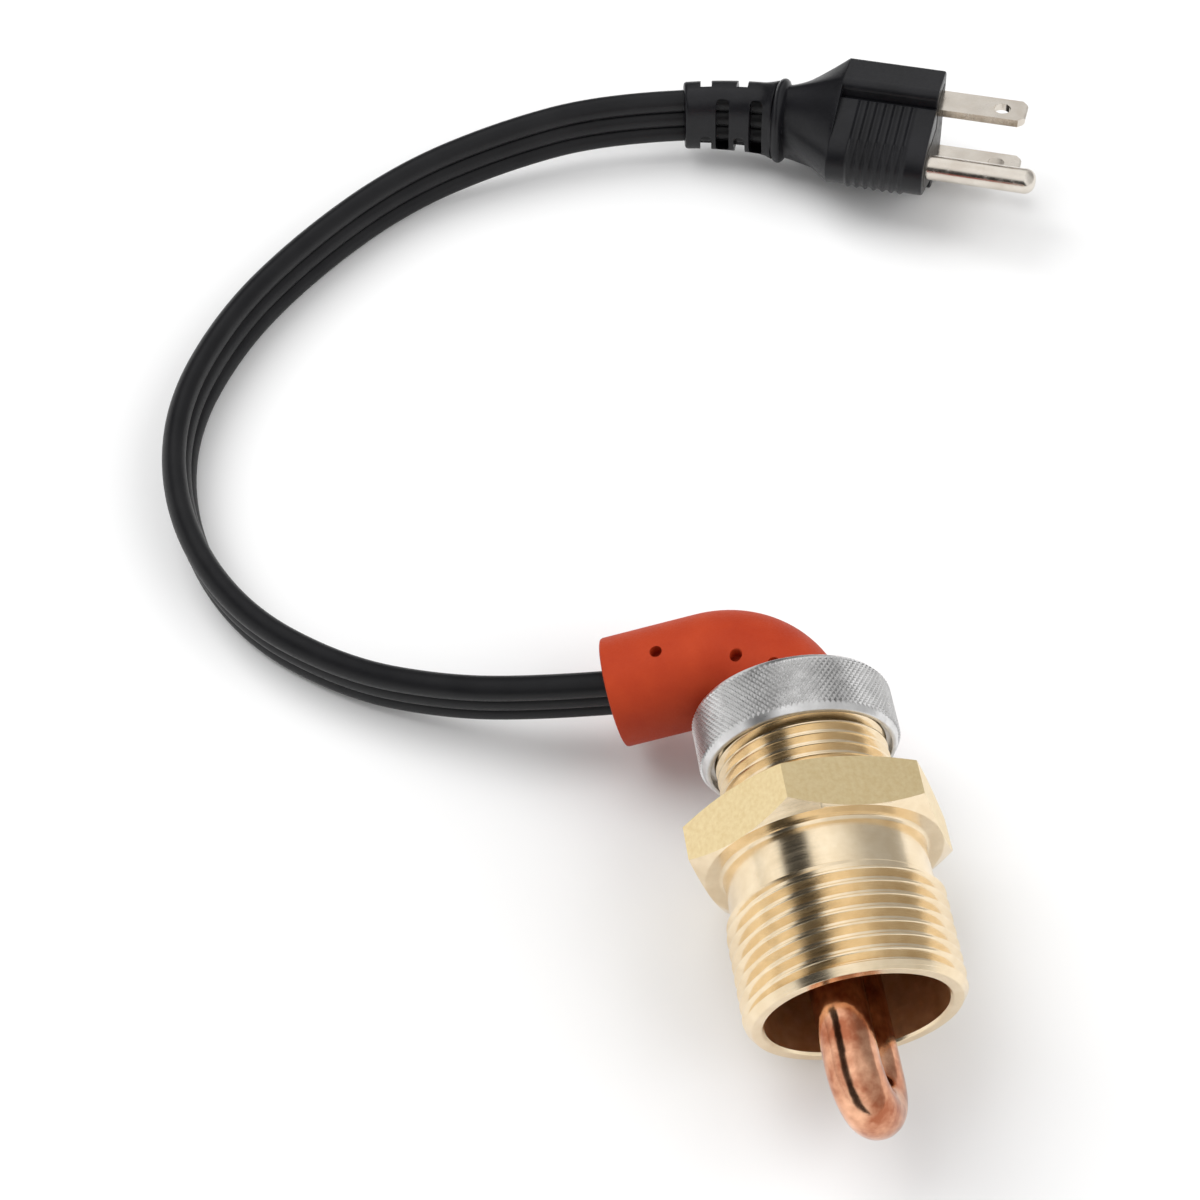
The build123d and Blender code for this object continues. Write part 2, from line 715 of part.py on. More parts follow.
# Plug cover: moulded body, ribs, cone, collar and strain relief in one piece
face_block, face_bulge = plug_body_section(
    0.0, block_width, block_thickness, block_corner, bulge_half_width, bulge_radius, prong_offset
)
back_block, back_bulge = plug_body_section(
    cover_length, block_width, block_thickness, block_corner, bulge_half_width, bulge_radius, prong_offset
)
cone_bulge_offset = relief_axis_offset + cone_end_bulge_radius / 2
cone_block, cone_bulge = plug_body_section(
    cone_back,
    cone_end_width,
    cone_end_thickness,
    cone_end_corner,
    cone_end_half_width,
    cone_end_bulge_radius,
    cone_bulge_offset,
)
with BuildPart() as plug_cover:
    extrude(face_block, amount=-cover_length)
    extrude(face_bulge, amount=-cover_length)
    loft([back_block, cone_block])
    loft([back_bulge, cone_bulge])
    for rib in range(rib_count):
        rib_back = rib_first + rib * rib_pitch + rib_thickness / 2
        with BuildSketch(plug.offset(-rib_back)):
            with Locations((0, relief_axis_offset)):
                Rectangle(2 * (bulge_half_width + rib_height), bulge_root_thickness)
            with Locations((0, prong_offset)):
                Circle(bulge_radius + rib_height)
            make_hull()
            Rectangle(2 * block_width, 2 * rib_start_offset, mode=Mode.SUBTRACT)
        extrude(amount=rib_thickness)
    with BuildSketch(plug.offset(-cone_back)):
        with Locations((0, relief_axis_offset)):
            RectangleRounded(collar_width, collar_thickness, (collar_thickness - collar_flat) / 2)
    extrude(amount=-collar_length)
    with BuildLine(relief_plane) as relief_path:
        JernArc(start=(0, 0), tangent=(1, 0), radius=relief_bend_radius, arc_size=relief_turn)
    relief_curve = relief_path.line
    with BuildSketch(Plane(origin=relief_curve @ 0, x_dir=plug_up, z_dir=relief_curve % 0)):
        RectangleRounded(relief_section_width, relief_section_thickness, relief_corner)
    sweep(path=relief_curve)
    for place in relief_side_windows:
        with BuildSketch(Plane(origin=relief_curve @ place, x_dir=plug_up, z_dir=relief_curve % place)):
            window_offset = (relief_core_thickness + relief_section_thickness) / 2
            with Locations((0, window_offset), (0, -window_offset)):
                Rectangle(relief_window_width, relief_section_thickness)
        extrude(amount=relief_window_length / 2, both=True, mode=Mode.SUBTRACT)
    for place in relief_edge_notches:
        with BuildSketch(Plane(origin=relief_curve @ place, x_dir=plug_up, z_dir=relief_curve % place)):
            notch_offset = (relief_core_width + relief_section_width) / 2
            with Locations((notch_offset, 0), (-notch_offset, 0)):
                Rectangle(relief_section_width, relief_notch_width)
        extrude(amount=relief_window_length / 2, both=True, mode=Mode.SUBTRACT)
    extrude(bridge_sketch(moulded_gap), amount=-bridge_depth, mode=Mode.SUBTRACT)
    with BuildSketch(plug):
        with Locations((blade_spacing / 2, 0), (-blade_spacing / 2, 0)):
            Rectangle(blade_thickness + 2 * moulded_gap, blade_width + 2 * moulded_gap)
        with Locations((0, prong_offset)):
            Circle(prong_tail_radius + moulded_gap)
    extrude(amount=-tail_length, mode=Mode.SUBTRACT)
    for place in plug_lead_places:
        add(plug_lead(*place, lead_radius + moulded_gap), mode=Mode.SUBTRACT)

os.makedirs("parts", exist_ok=True)

brass_body.part.label = "brass_body"
export_step(brass_body.part, "parts/brass_body.step")
element_sheath.part.label = "element_sheath"
export_step(element_sheath.part, "parts/element_sheath.step")
magnesia_fill.part.label = "magnesia_fill"
export_step(magnesia_fill.part, "parts/magnesia_fill.step")
resistance_coil.part.label = "resistance_coil"
export_step(resistance_coil.part, "parts/resistance_coil.step")
terminal_pin_line.part.label = "terminal_pin_line"
export_step(terminal_pin_line.part, "parts/terminal_pin_line.step")
terminal_pin_neutral.part.label = "terminal_pin_neutral"
export_step(terminal_pin_neutral.part, "parts/terminal_pin_neutral.step")
ground_pin.part.label = "ground_pin"
export_step(ground_pin.part, "parts/ground_pin.step")
braze_fillets.part.label = "braze_fillets"
export_step(braze_fillets.part, "parts/braze_fillets.step")
element_seals.part.label = "element_seals"
export_step(element_seals.part, "parts/element_seals.step")
terminal_insulator.part.label = "terminal_insulator"
export_step(terminal_insulator.part, "parts/terminal_insulator.step")
socket_insert.part.label = "socket_insert"
export_step(socket_insert.part, "parts/socket_insert.step")
contact_line.part.label = "contact_line"
export_step(contact_line.part, "parts/contact_line.step")
contact_neutral.part.label = "contact_neutral"
export_step(contact_neutral.part, "parts/contact_neutral.step")
contact_ground.part.label = "contact_ground"
export_step(contact_ground.part, "parts/contact_ground.step")
lead_line.part.label = "lead_line"
export_step(lead_line.part, "parts/lead_line.step")
lead_neutral.part.label = "lead_neutral"
export_step(lead_neutral.part, "parts/lead_neutral.step")
lead_ground.part.label = "lead_ground"
export_step(lead_ground.part, "parts/lead_ground.step")
elbow_boot.part.label = "elbow_boot"
export_step(elbow_boot.part, "parts/elbow_boot.step")
coupling_ring.part.label = "coupling_ring"
export_step(coupling_ring.part, "parts/coupling_ring.step")
power_cord.part.label = "power_cord"
export_step(power_cord.part, "parts/power_cord.step")
blade_line.part.label = "blade_line"
export_step(blade_line.part, "parts/blade_line.step")
blade_neutral.part.label = "blade_neutral"
export_step(blade_neutral.part, "parts/blade_neutral.step")
ground_prong.part.label = "ground_prong"
export_step(ground_prong.part, "parts/ground_prong.step")
plug_lead_line.part.label = "plug_lead_line"
export_step(plug_lead_line.part, "parts/plug_lead_line.step")
plug_lead_neutral.part.label = "plug_lead_neutral"
export_step(plug_lead_neutral.part, "parts/plug_lead_neutral.step")
plug_lead_ground.part.label = "plug_lead_ground"
export_step(plug_lead_ground.part, "parts/plug_lead_ground.step")
plug_bridge.part.label = "plug_bridge"
export_step(plug_bridge.part, "parts/plug_bridge.step")
plug_cover.part.label = "plug_cover"
export_step(plug_cover.part, "parts/plug_cover.step")

cord_length = sum(edge.length for edge in cord_route.line.edges())
print("cord radii", [round(radius) for radius in cord_radii])
print("cord length", round(cord_length, 1))
print("cord volume over section", round(power_cord.part.volume / cord_section.sketch.area, 1))
print("floor", round(floor_z, 3), "plug's lowest point", round(plug_cover.part.bounding_box().min.Z, 3))
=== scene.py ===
import logging
import math
from dataclasses import dataclass, field
from enum import Enum
from typing import Callable, Iterable, Sequence

import bmesh
import bpy
from mathutils import Matrix, Vector
from mathutils.geometry import convex_hull_2d


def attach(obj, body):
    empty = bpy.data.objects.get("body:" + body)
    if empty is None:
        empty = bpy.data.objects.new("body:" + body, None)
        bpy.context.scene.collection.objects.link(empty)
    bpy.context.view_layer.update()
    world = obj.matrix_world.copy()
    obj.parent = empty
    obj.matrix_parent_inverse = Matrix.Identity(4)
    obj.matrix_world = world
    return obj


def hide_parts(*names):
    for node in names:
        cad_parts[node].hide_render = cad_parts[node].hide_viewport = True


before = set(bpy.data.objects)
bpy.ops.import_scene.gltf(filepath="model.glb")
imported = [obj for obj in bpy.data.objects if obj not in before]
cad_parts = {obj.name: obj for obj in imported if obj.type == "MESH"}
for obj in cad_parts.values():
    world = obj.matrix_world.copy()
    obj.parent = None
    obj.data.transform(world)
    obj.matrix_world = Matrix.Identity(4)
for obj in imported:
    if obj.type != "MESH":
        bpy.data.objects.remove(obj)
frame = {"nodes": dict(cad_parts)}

# Sizes are in millimetres unless a name says otherwise, and each mesh is scaled to metres
# when it is finished. The heater's axis is Y, its mouth faces -Y and +Z is up.
MM = 0.001
FLOOR_Z = -19.93

log = logging.getLogger("block_heater")


class Body(Enum):
    """The moving bodies that a piece can ride on."""

    HEATER = "heater"
    CONNECTOR = "connector"
    RING = "ring"


Colour = tuple[float, float, float]
Outline = Sequence[tuple[float, float]]


class NodeTree:
    """A small builder for one material's nodes."""

    def __init__(self, name: str) -> None:
        """Starts an empty material with a Principled shader.

        Args:
            name: the material's name.
        """
        self.material = bpy.data.materials.new(name)
        self.material.use_nodes = True
        self.tree = self.material.node_tree
        self.tree.nodes.clear()
        self.output = self.tree.nodes.new("ShaderNodeOutputMaterial")
        self.shader = self.tree.nodes.new("ShaderNodeBsdfPrincipled")
        self.tree.links.new(self.shader.outputs["BSDF"], self.output.inputs["Surface"])
        self.coords = self.tree.nodes.new("ShaderNodeTexCoord")

    def set(self, **sockets: float | tuple) -> None:
        """Sets the shader's own sockets; underscores stand for spaces.

        Args:
            sockets: socket name to value.
        """
        for name, value in sockets.items():
            self.shader.inputs[name.replace("_", " ")].default_value = value

    def mapping(self, scale: tuple[float, float, float], source: str = "Object") -> bpy.types.NodeSocket:
        """Scales the texture coordinates.

        Args:
            scale: the factor along each axis.
            source: the Texture Coordinate output to read.

        Returns:
            The mapped vector socket.
        """
        node = self.tree.nodes.new("ShaderNodeMapping")
        node.inputs["Scale"].default_value = scale
        self.tree.links.new(self.coords.outputs[source], node.inputs["Vector"])
        return node.outputs["Vector"]

    def noise(self, vector: bpy.types.NodeSocket, scale: float, detail: float = 4.0) -> bpy.types.NodeSocket:
        """Adds a noise texture.

        Args:
            vector: the coordinates.
            scale: cells per metre.
            detail: octaves.

        Returns:
            The noise factor socket.
        """
        node = self.tree.nodes.new("ShaderNodeTexNoise")
        node.inputs["Scale"].default_value = scale
        node.inputs["Detail"].default_value = detail
        node.inputs["Roughness"].default_value = 0.55
        self.tree.links.new(vector, node.inputs["Vector"])
        return node.outputs["Fac"]

    def ramp(
        self, factor: bpy.types.NodeSocket, low: float, high: float, dark: Colour, light: Colour
    ) -> bpy.types.NodeSocket:
        """Maps a factor to a colour between two colours.

        Args:
            factor: the input factor.
            low: the factor that gives the dark colour.
            high: the factor that gives the light colour.
            dark: the first colour.
            light: the second colour.

        Returns:
            The colour socket.
        """
        node = self.tree.nodes.new("ShaderNodeValToRGB")
        node.color_ramp.elements[0].position = low
        node.color_ramp.elements[0].color = (*dark, 1.0)
        node.color_ramp.elements[1].position = high
        node.color_ramp.elements[1].color = (*light, 1.0)
        self.tree.links.new(factor, node.inputs["Fac"])
        return node.outputs["Color"]

    def map_range(
        self, factor: bpy.types.NodeSocket, low: float, high: float, to_low: float, to_high: float
    ) -> bpy.types.NodeSocket:
        """Maps a factor to another range.

        Args:
            factor: the input factor.
            low: start of the input range.
            high: end of the input range.
            to_low: start of the output range.
            to_high: end of the output range.

        Returns:
            The mapped value socket.
        """
        node = self.tree.nodes.new("ShaderNodeMapRange")
        for name, value in (
            ("From Min", low), ("From Max", high), ("To Min", to_low), ("To Max", to_high)
        ):
            node.inputs[name].default_value = value
        self.tree.links.new(factor, node.inputs["Value"])
        return node.outputs["Result"]

    def bump(self, height: bpy.types.NodeSocket, depth: float) -> bpy.types.NodeSocket:
        """Adds a bump to the surface.

        Args:
            height: the height factor, 0 to 1.
            depth: the height in millimetres that a factor of 1 stands for.

        Returns:
            The normal socket.
        """
        node = self.tree.nodes.new("ShaderNodeBump")
        node.inputs["Distance"].default_value = depth * MM
        node.inputs["Strength"].default_value = 1.0
        self.tree.links.new(height, node.inputs["Height"])
        return node.outputs["Normal"]

    def link(self, socket: bpy.types.NodeSocket, name: str) -> None:
        """Links a socket to one of the shader's inputs.

        Args:
            socket: the output socket.
            name: the shader's input.
        """
        self.tree.links.new(socket, self.shader.inputs[name])


@dataclass(frozen=True)
class TurnedMetal:
    """Metal with fine marks round or along the heater's axis and a mottled tone."""

    name: str
    dark: Colour
    light: Colour
    roughness_low: float
    roughness_high: float
    mark_scale: tuple[float, float, float]
    mark_depth: float
    tone_scale: float = 350.0

    def material(self) -> bpy.types.Material:
        """Returns the finish as a new material."""
        nodes = NodeTree(self.name)
        tone = nodes.noise(nodes.mapping((1.0, 1.0, 1.0)), self.tone_scale, 5.0)
        marks = nodes.noise(nodes.mapping(self.mark_scale), 1000.0, 3.0)
        nodes.link(nodes.ramp(tone, 0.35, 0.7, self.dark, self.light), "Base Color")
        nodes.link(nodes.map_range(marks, 0.3, 0.7, self.roughness_low, self.roughness_high), "Roughness")
        nodes.link(nodes.bump(marks, self.mark_depth), "Normal")
        nodes.set(Metallic=1.0)
        return nodes.material


@dataclass(frozen=True)
class MouldedRubber:
    """Rubber or vinyl with a fine grain."""

    name: str
    dark: Colour
    light: Colour
    roughness_low: float
    roughness_high: float
    grain_scale: float
    grain_depth: float
    gloss: float = 0.25
    tone_scale: float = 120.0

    def material(self) -> bpy.types.Material:
        """Returns the finish as a new material."""
        nodes = NodeTree(self.name)
        plain = nodes.mapping((1.0, 1.0, 1.0))
        tone = nodes.noise(plain, self.tone_scale, 4.0)
        grain = nodes.noise(plain, self.grain_scale, 3.0)
        nodes.link(nodes.ramp(tone, 0.3, 0.7, self.dark, self.light), "Base Color")
        nodes.link(nodes.map_range(grain, 0.3, 0.7, self.roughness_low, self.roughness_high), "Roughness")
        nodes.link(nodes.bump(grain, self.grain_depth), "Normal")
        nodes.set(Metallic=0.0, Specular_IOR_Level=self.gloss)
        return nodes.material


BODY_BRASS = TurnedMetal(
    "turned_brass", (0.85, 0.69, 0.47), (0.94, 0.79, 0.57), 0.14, 0.25, (0.08, 5.0, 0.08), 0.005
)
HEX_BRASS = TurnedMetal(
    "milled_brass", (0.86, 0.67, 0.36), (0.94, 0.77, 0.46), 0.28, 0.42, (6.0, 0.25, 6.0), 0.005, 1400.0
)
# Inside the bore: rougher bored brass, whose darker, redder colour is painted shade and painted reflection of brass on
# brass.
BORE_BRASS_PAINTED_SHADE = TurnedMetal(
    "bored_brass_painted_shade", (0.7, 0.42, 0.2), (0.84, 0.56, 0.31), 0.4, 0.56, (0.3, 4.0, 0.3), 0.01
)
COPPER = TurnedMetal(
    "drawn_copper", (0.42, 0.14, 0.07), (0.96, 0.54, 0.34), 0.07, 0.22, (0.22, 0.16, 0.22), 0.12, 260.0
)
RING_METAL = TurnedMetal(
    "knurled_aluminium", (0.66, 0.655, 0.65), (0.82, 0.815, 0.81), 0.26, 0.38, (0.3, 4.0, 0.3), 0.004, 500.0
)
NICKEL = TurnedMetal(
    "nickel_plate", (0.62, 0.56, 0.49), (0.76, 0.71, 0.64), 0.12, 0.28, (0.6, 0.6, 0.6), 0.006, 300.0
)
BRAZE = TurnedMetal(
    "silver_braze", (0.6, 0.55, 0.42), (0.75, 0.7, 0.58), 0.25, 0.45, (1.0, 1.0, 1.0), 0.02, 400.0
)
BOOT_RUBBER = MouldedRubber(
    "orange_silicone", (0.38, 0.034, 0.008), (0.46, 0.05, 0.012), 0.5, 0.68, 3000.0, 0.03
)
CORD_RUBBER = MouldedRubber(
    "black_cord_jacket", (0.004, 0.004, 0.005), (0.008, 0.008, 0.009), 0.34, 0.48, 2500.0, 0.012, 0.26
)
PLUG_VINYL = MouldedRubber(
    "black_moulded_vinyl", (0.004, 0.004, 0.005), (0.008, 0.008, 0.01), 0.28, 0.4, 1800.0, 0.02, 0.3
)
DARK_PHENOLIC = MouldedRubber(
    "dark_phenolic", (0.02, 0.018, 0.016), (0.04, 0.036, 0.032), 0.35, 0.5, 900.0, 0.01
)
PALE_POWDER = MouldedRubber(
    "pale_powder", (0.7, 0.69, 0.66), (0.85, 0.84, 0.8), 0.8, 0.95, 2500.0, 0.05
)


def spun(outline: Outline, steps: int = 144) -> bmesh.types.BMesh:
    """Turns a closed (radius, y) outline about the heater's axis.

    Args:
        outline: the section's corners in order.
        steps: facets round the axis.

    Returns:
        A closed mesh in millimetres.
    """
    bm = bmesh.new()
    verts = [bm.verts.new((radius, y, 0.0)) for radius, y in outline]
    edges = [bm.edges.new(pair) for pair in zip(verts, verts[1:] + verts[:1])]
    bmesh.ops.spin(
        bm, geom=verts + edges, cent=(0, 0, 0), axis=(0, 1, 0), angle=2 * math.pi, steps=steps, use_merge=True
    )
    bmesh.ops.remove_doubles(bm, verts=bm.verts, dist=1e-4)
    bmesh.ops.recalc_face_normals(bm, faces=bm.faces)
    return bm


def rounded(outline: Outline, corners: dict[int, float], segments: int = 4) -> list[tuple[float, float]]:
    """Rounds chosen corners of an outline.

    Args:
        outline: the corners in order.
        corners: corner number to the length cut from each side.
        segments: points per rounded corner, less one.

    Returns:
        The outline with those corners as short curves.
    """
    points: list[tuple[float, float]] = []
    count = len(outline)
    for index, corner in enumerate(outline):
        if index not in corners:
            points.append(corner)
            continue
        here = Vector(corner)
        before = (Vector(outline[index - 1]) - here).normalized() * corners[index]
        after = (Vector(outline[(index + 1) % count]) - here).normalized() * corners[index]
        for step in range(segments + 1):
            t = step / segments
            point = here + before * (1 - t) ** 2 + after * t**2
            points.append((point.x, point.y))
    return points


def round_ring(middle: Vector, side: Vector, across: Vector, radius: float, count: int) -> list[Vector]:
    """Returns points on a circle.

    Args:
        middle: the circle's centre.
        side: the direction of the first point.
        across: the direction of the point a quarter turn on.
        radius: the circle's radius.
        count: the number of points.

    Returns:
        The points in order.
    """
    turns = [2 * math.pi * index / count for index in range(count)]
    return [middle + (side * math.cos(turn) + across * math.sin(turn)) * radius for turn in turns]


def loft(rings: Sequence[Sequence[Vector]]) -> bmesh.types.BMesh:
    """Skins closed rings of equal point counts and caps both ends.

    Args:
        rings: the sections in order along the piece.

    Returns:
        A closed mesh in millimetres.
    """
    bm = bmesh.new()
    loops = []
    for ring in rings:
        verts = [bm.verts.new(point) for point in ring]
        loops.append([bm.edges.new(pair) for pair in zip(verts, verts[1:] + verts[:1])])
    for before, after in zip(loops, loops[1:]):
        bmesh.ops.bridge_loops(bm, edges=before + after)
    bmesh.ops.contextual_create(bm, geom=loops[0])
    bmesh.ops.contextual_create(bm, geom=loops[-1])
    bmesh.ops.recalc_face_normals(bm, faces=bm.faces)
    return bm


def carved(bm: bmesh.types.BMesh, cutters: bmesh.types.BMesh) -> bmesh.types.BMesh:
    """Cuts one closed mesh out of another.

    Args:
        bm: the mesh to cut, which is freed.
        cutters: the shapes to take away, which are freed.

    Returns:
        The cut mesh.
    """
    hosts = []
    for name, shape in (("carved", bm), ("cutters", cutters)):
        mesh = bpy.data.meshes.new(name)
        shape.to_mesh(mesh)
        shape.free()
        host = bpy.data.objects.new(name, mesh)
        bpy.context.collection.objects.link(host)
        hosts.append(host)
    cut = hosts[0].modifiers.new("cut", "BOOLEAN")
    cut.operation = "DIFFERENCE"
    cut.solver = "EXACT"
    cut.object = hosts[1]
    graph = bpy.context.evaluated_depsgraph_get()
    mesh = bpy.data.meshes.new_from_object(hosts[0].evaluated_get(graph))
    result = bmesh.new()
    result.from_mesh(mesh)
    for host in hosts:
        data = host.data
        bpy.data.objects.remove(host)
        bpy.data.meshes.remove(data)
    bpy.data.meshes.remove(mesh)
    return result


def polar(outline: Outline, centre: tuple[float, float], count: int) -> list[tuple[float, float]]:
    """Reads a convex outline at even angles round a centre.

    Args:
        outline: the outline's corners in order.
        centre: a point inside it.
        count: the number of angles.

    Returns:
        The outline's points at those angles.
    """
    points = []
    for index in range(count):
        turn = 2 * math.pi * index / count
        ray = Vector((math.cos(turn), math.sin(turn)))
        reach = 0.0
        for start, end in zip(outline, list(outline[1:]) + [outline[0]]):
            side = Vector(end) - Vector(start)
            offset = Vector(start) - Vector(centre)
            spread = ray.x * side.y - ray.y * side.x
            if abs(spread) < 1e-9:
                continue
            along = (offset.x * side.y - offset.y * side.x) / spread
            share = (offset.x * ray.y - offset.y * ray.x) / spread
            if along > 0 and -1e-6 <= share <= 1 + 1e-6:
                reach = max(reach, along)
        points.append((centre[0] + ray.x * reach, centre[1] + ray.y * reach))
    return points


def soft_box(width: float, height: float, corner: float, middle: float = 0.0) -> list[tuple[float, float]]:
    """Returns a rectangle's outline with round corners.

    Args:
        width: the full width.
        height: the full height.
        corner: the corners' radius.
        middle: the first coordinate of its centre.

    Returns:
        The outline's points in order.
    """
    points = []
    steps = 6
    for quarter, (side, up) in enumerate(((1, 1), (-1, 1), (-1, -1), (1, -1))):
        for step in range(steps + 1):
            turn = math.pi / 2 * (quarter + step / steps)
            across = middle + side * (width / 2 - corner) + corner * math.cos(turn)
            points.append((across, up * (height / 2 - corner) + corner * math.sin(turn)))
    return points


def oval(width: float, height: float, middle: float = 0.0, power: float = 2.0) -> list[tuple[float, float]]:
    """Returns an oval's outline.

    Args:
        width: the full width.
        height: the full height.
        middle: the second coordinate of its centre.
        power: 2 for an ellipse, more for a squarer oval.

    Returns:
        The outline's points in order.
    """
    points = []
    count = 96
    for index in range(count):
        turn = 2 * math.pi * index / count
        side = math.copysign(abs(math.cos(turn)) ** (2 / power), math.cos(turn))
        up = math.copysign(abs(math.sin(turn)) ** (2 / power), math.sin(turn))
        points.append((side * width / 2, middle + up * height / 2))
    return points


def hull(points: Outline) -> list[tuple[float, float]]:
    """Returns the convex outline round some points."""
    return [points[index] for index in convex_hull_2d([Vector(point) for point in points])]


def grown(outline: Outline, amounts: Sequence[float]) -> list[tuple[float, float]]:
    """Moves each point of a closed outline outwards.

    Args:
        outline: the outline's points in order.
        amounts: how far each point moves, or one amount for all.

    Returns:
        The moved points.
    """
    closed = list(outline) + [outline[0]]
    facing = math.copysign(1.0, sum(a[0] * b[1] - b[0] * a[1] for a, b in zip(closed, closed[1:])))
    points = []
    for index, (x, y) in enumerate(outline):
        along = (Vector(closed[index + 1]) - Vector(outline[index - 1])).normalized() * facing
        amount = amounts[index % len(amounts)]
        points.append((x + along.y * amount, y - along.x * amount))
    return points


def finish_piece(
    name: str,
    bm: bmesh.types.BMesh,
    body: Body,
    materials: Sequence[bpy.types.Material],
    replaces: Iterable[str] = (),
    smooth_angle: float = 35.0,
) -> bpy.types.Object:
    """Turns a mesh in millimetres into a finished piece that rides on a body.

    Args:
        name: the piece's name.
        bm: the mesh, which is freed.
        body: the body that the piece moves with.
        materials: the piece's materials in slot order.
        replaces: the CAD nodes that it stands for.
        smooth_angle: faces that meet at less than this many degrees are shaded smooth.

    Returns:
        The new object.
    """
    bmesh.ops.scale(bm, vec=(MM, MM, MM), verts=bm.verts)
    mesh = bpy.data.meshes.new(name)
    bm.to_mesh(mesh)
    bm.free()
    for material in materials:
        mesh.materials.append(material)
    mesh.shade_smooth()
    mesh.set_sharp_from_angle(angle=math.radians(smooth_angle))
    piece = bpy.data.objects.new(name, mesh)
    bpy.context.collection.objects.link(piece)
    even = piece.modifiers.new("even_normals", "WEIGHTED_NORMAL")
    even.keep_sharp = True
    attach(piece, body.value)
    if replaces:
        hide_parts(*replaces)
    log.info("%s: %d faces on %s", name, len(mesh.polygons), body.value)
    return piece


def dress_node(node: str, material: bpy.types.Material) -> None:
    """Gives a CAD node a material.

    Args:
        node: the node's name.
        material: the material.
    """
    mesh = frame["nodes"][node].data
    mesh.materials.clear()
    mesh.materials.append(material)


def join_into(target: bmesh.types.BMesh, part: bmesh.types.BMesh, material_index: int | None = 0) -> None:
    """Adds one mesh to another.

    Args:
        target: the mesh that grows.
        part: the mesh to add, which is freed.
        material_index: the material slot of the added faces, or None to keep their own.
    """
    if material_index is not None:
        for face in part.faces:
            face.material_index = material_index
    scratch = bpy.data.meshes.new("scratch")
    part.to_mesh(scratch)
    part.free()
    target.from_mesh(scratch)
    bpy.data.meshes.remove(scratch)


@dataclass
class Thread:
    """One turned thread, with the sizes of its real profile."""

    crest_radius: float
    pitch: float
    start_y: float
    end_y: float
    steps_per_turn: int = 120
    depth_per_pitch: float = 0.6134
    half_angle: float = 30.0
    crest_round: float = 0.05
    sunk: float = 0.25

    @property
    def root_radius(self) -> float:
        """The radius at the bottom of the grooves."""
        return self.crest_radius - self.depth_per_pitch * self.pitch

    def ridge(self, limit: Callable[[float], float]) -> bmesh.types.BMesh:
        """Builds the helical ridge, trimmed to the body's chamfers.

        Args:
            limit: the largest radius allowed at each y.

        Returns:
            The ridge, closed, in millimetres.
        """
        slope = math.tan(math.radians(self.half_angle))
        half_land = self.pitch / 16
        foot = half_land + (self.crest_radius - self.root_radius + self.sunk) * slope
        soft = self.crest_round
        outline = [
            (self.root_radius - self.sunk, -foot),
            (self.crest_radius - 3 * soft, -half_land - 3 * soft * slope),
            (self.crest_radius - soft, -half_land - soft * slope),
            (self.crest_radius, -half_land + soft * 0.4),
            (self.crest_radius, half_land - soft * 0.4),
            (self.crest_radius - soft, half_land + soft * slope),
            (self.crest_radius - 3 * soft, half_land + 3 * soft * slope),
            (self.root_radius - self.sunk, foot),
        ]
        first = self.start_y - foot
        turns = (self.end_y + foot - first) / self.pitch
        steps = int(turns * self.steps_per_turn)
        bm = bmesh.new()
        verts = [bm.verts.new((radius, first + y, 0.0)) for radius, y in outline]
        edges = [bm.edges.new(pair) for pair in zip(verts, verts[1:] + verts[:1])]
        bmesh.ops.contextual_create(bm, geom=edges)
        bmesh.ops.spin(
            bm,
            geom=list(bm.verts) + list(bm.edges) + list(bm.faces),
            cent=(0, 0, 0),
            axis=(0, 1, 0),
            dvec=(0, self.pitch / self.steps_per_turn, 0),
            angle=2 * math.pi * steps / self.steps_per_turn,
            steps=steps,
        )
        for vert in bm.verts:
            radius = math.hypot(vert.co.x, vert.co.z)
            allowed = limit(vert.co.y)
            if radius > allowed:
                vert.co.x *= allowed / radius
                vert.co.z *= allowed / radius
        for y, outward in ((self.start_y, -1.0), (self.end_y, 1.0)):
            cut = bmesh.ops.bisect_plane(
                bm,
                geom=list(bm.verts) + list(bm.edges) + list(bm.faces),
                plane_co=(0, y, 0),
                plane_no=(0, outward, 0),
                clear_outer=True,
            )
            rim = [item for item in cut["geom_cut"] if isinstance(item, bmesh.types.BMEdge)]
            bmesh.ops.holes_fill(bm, edges=rim, sides=0)
        bmesh.ops.recalc_face_normals(bm, faces=bm.faces)
        return bm


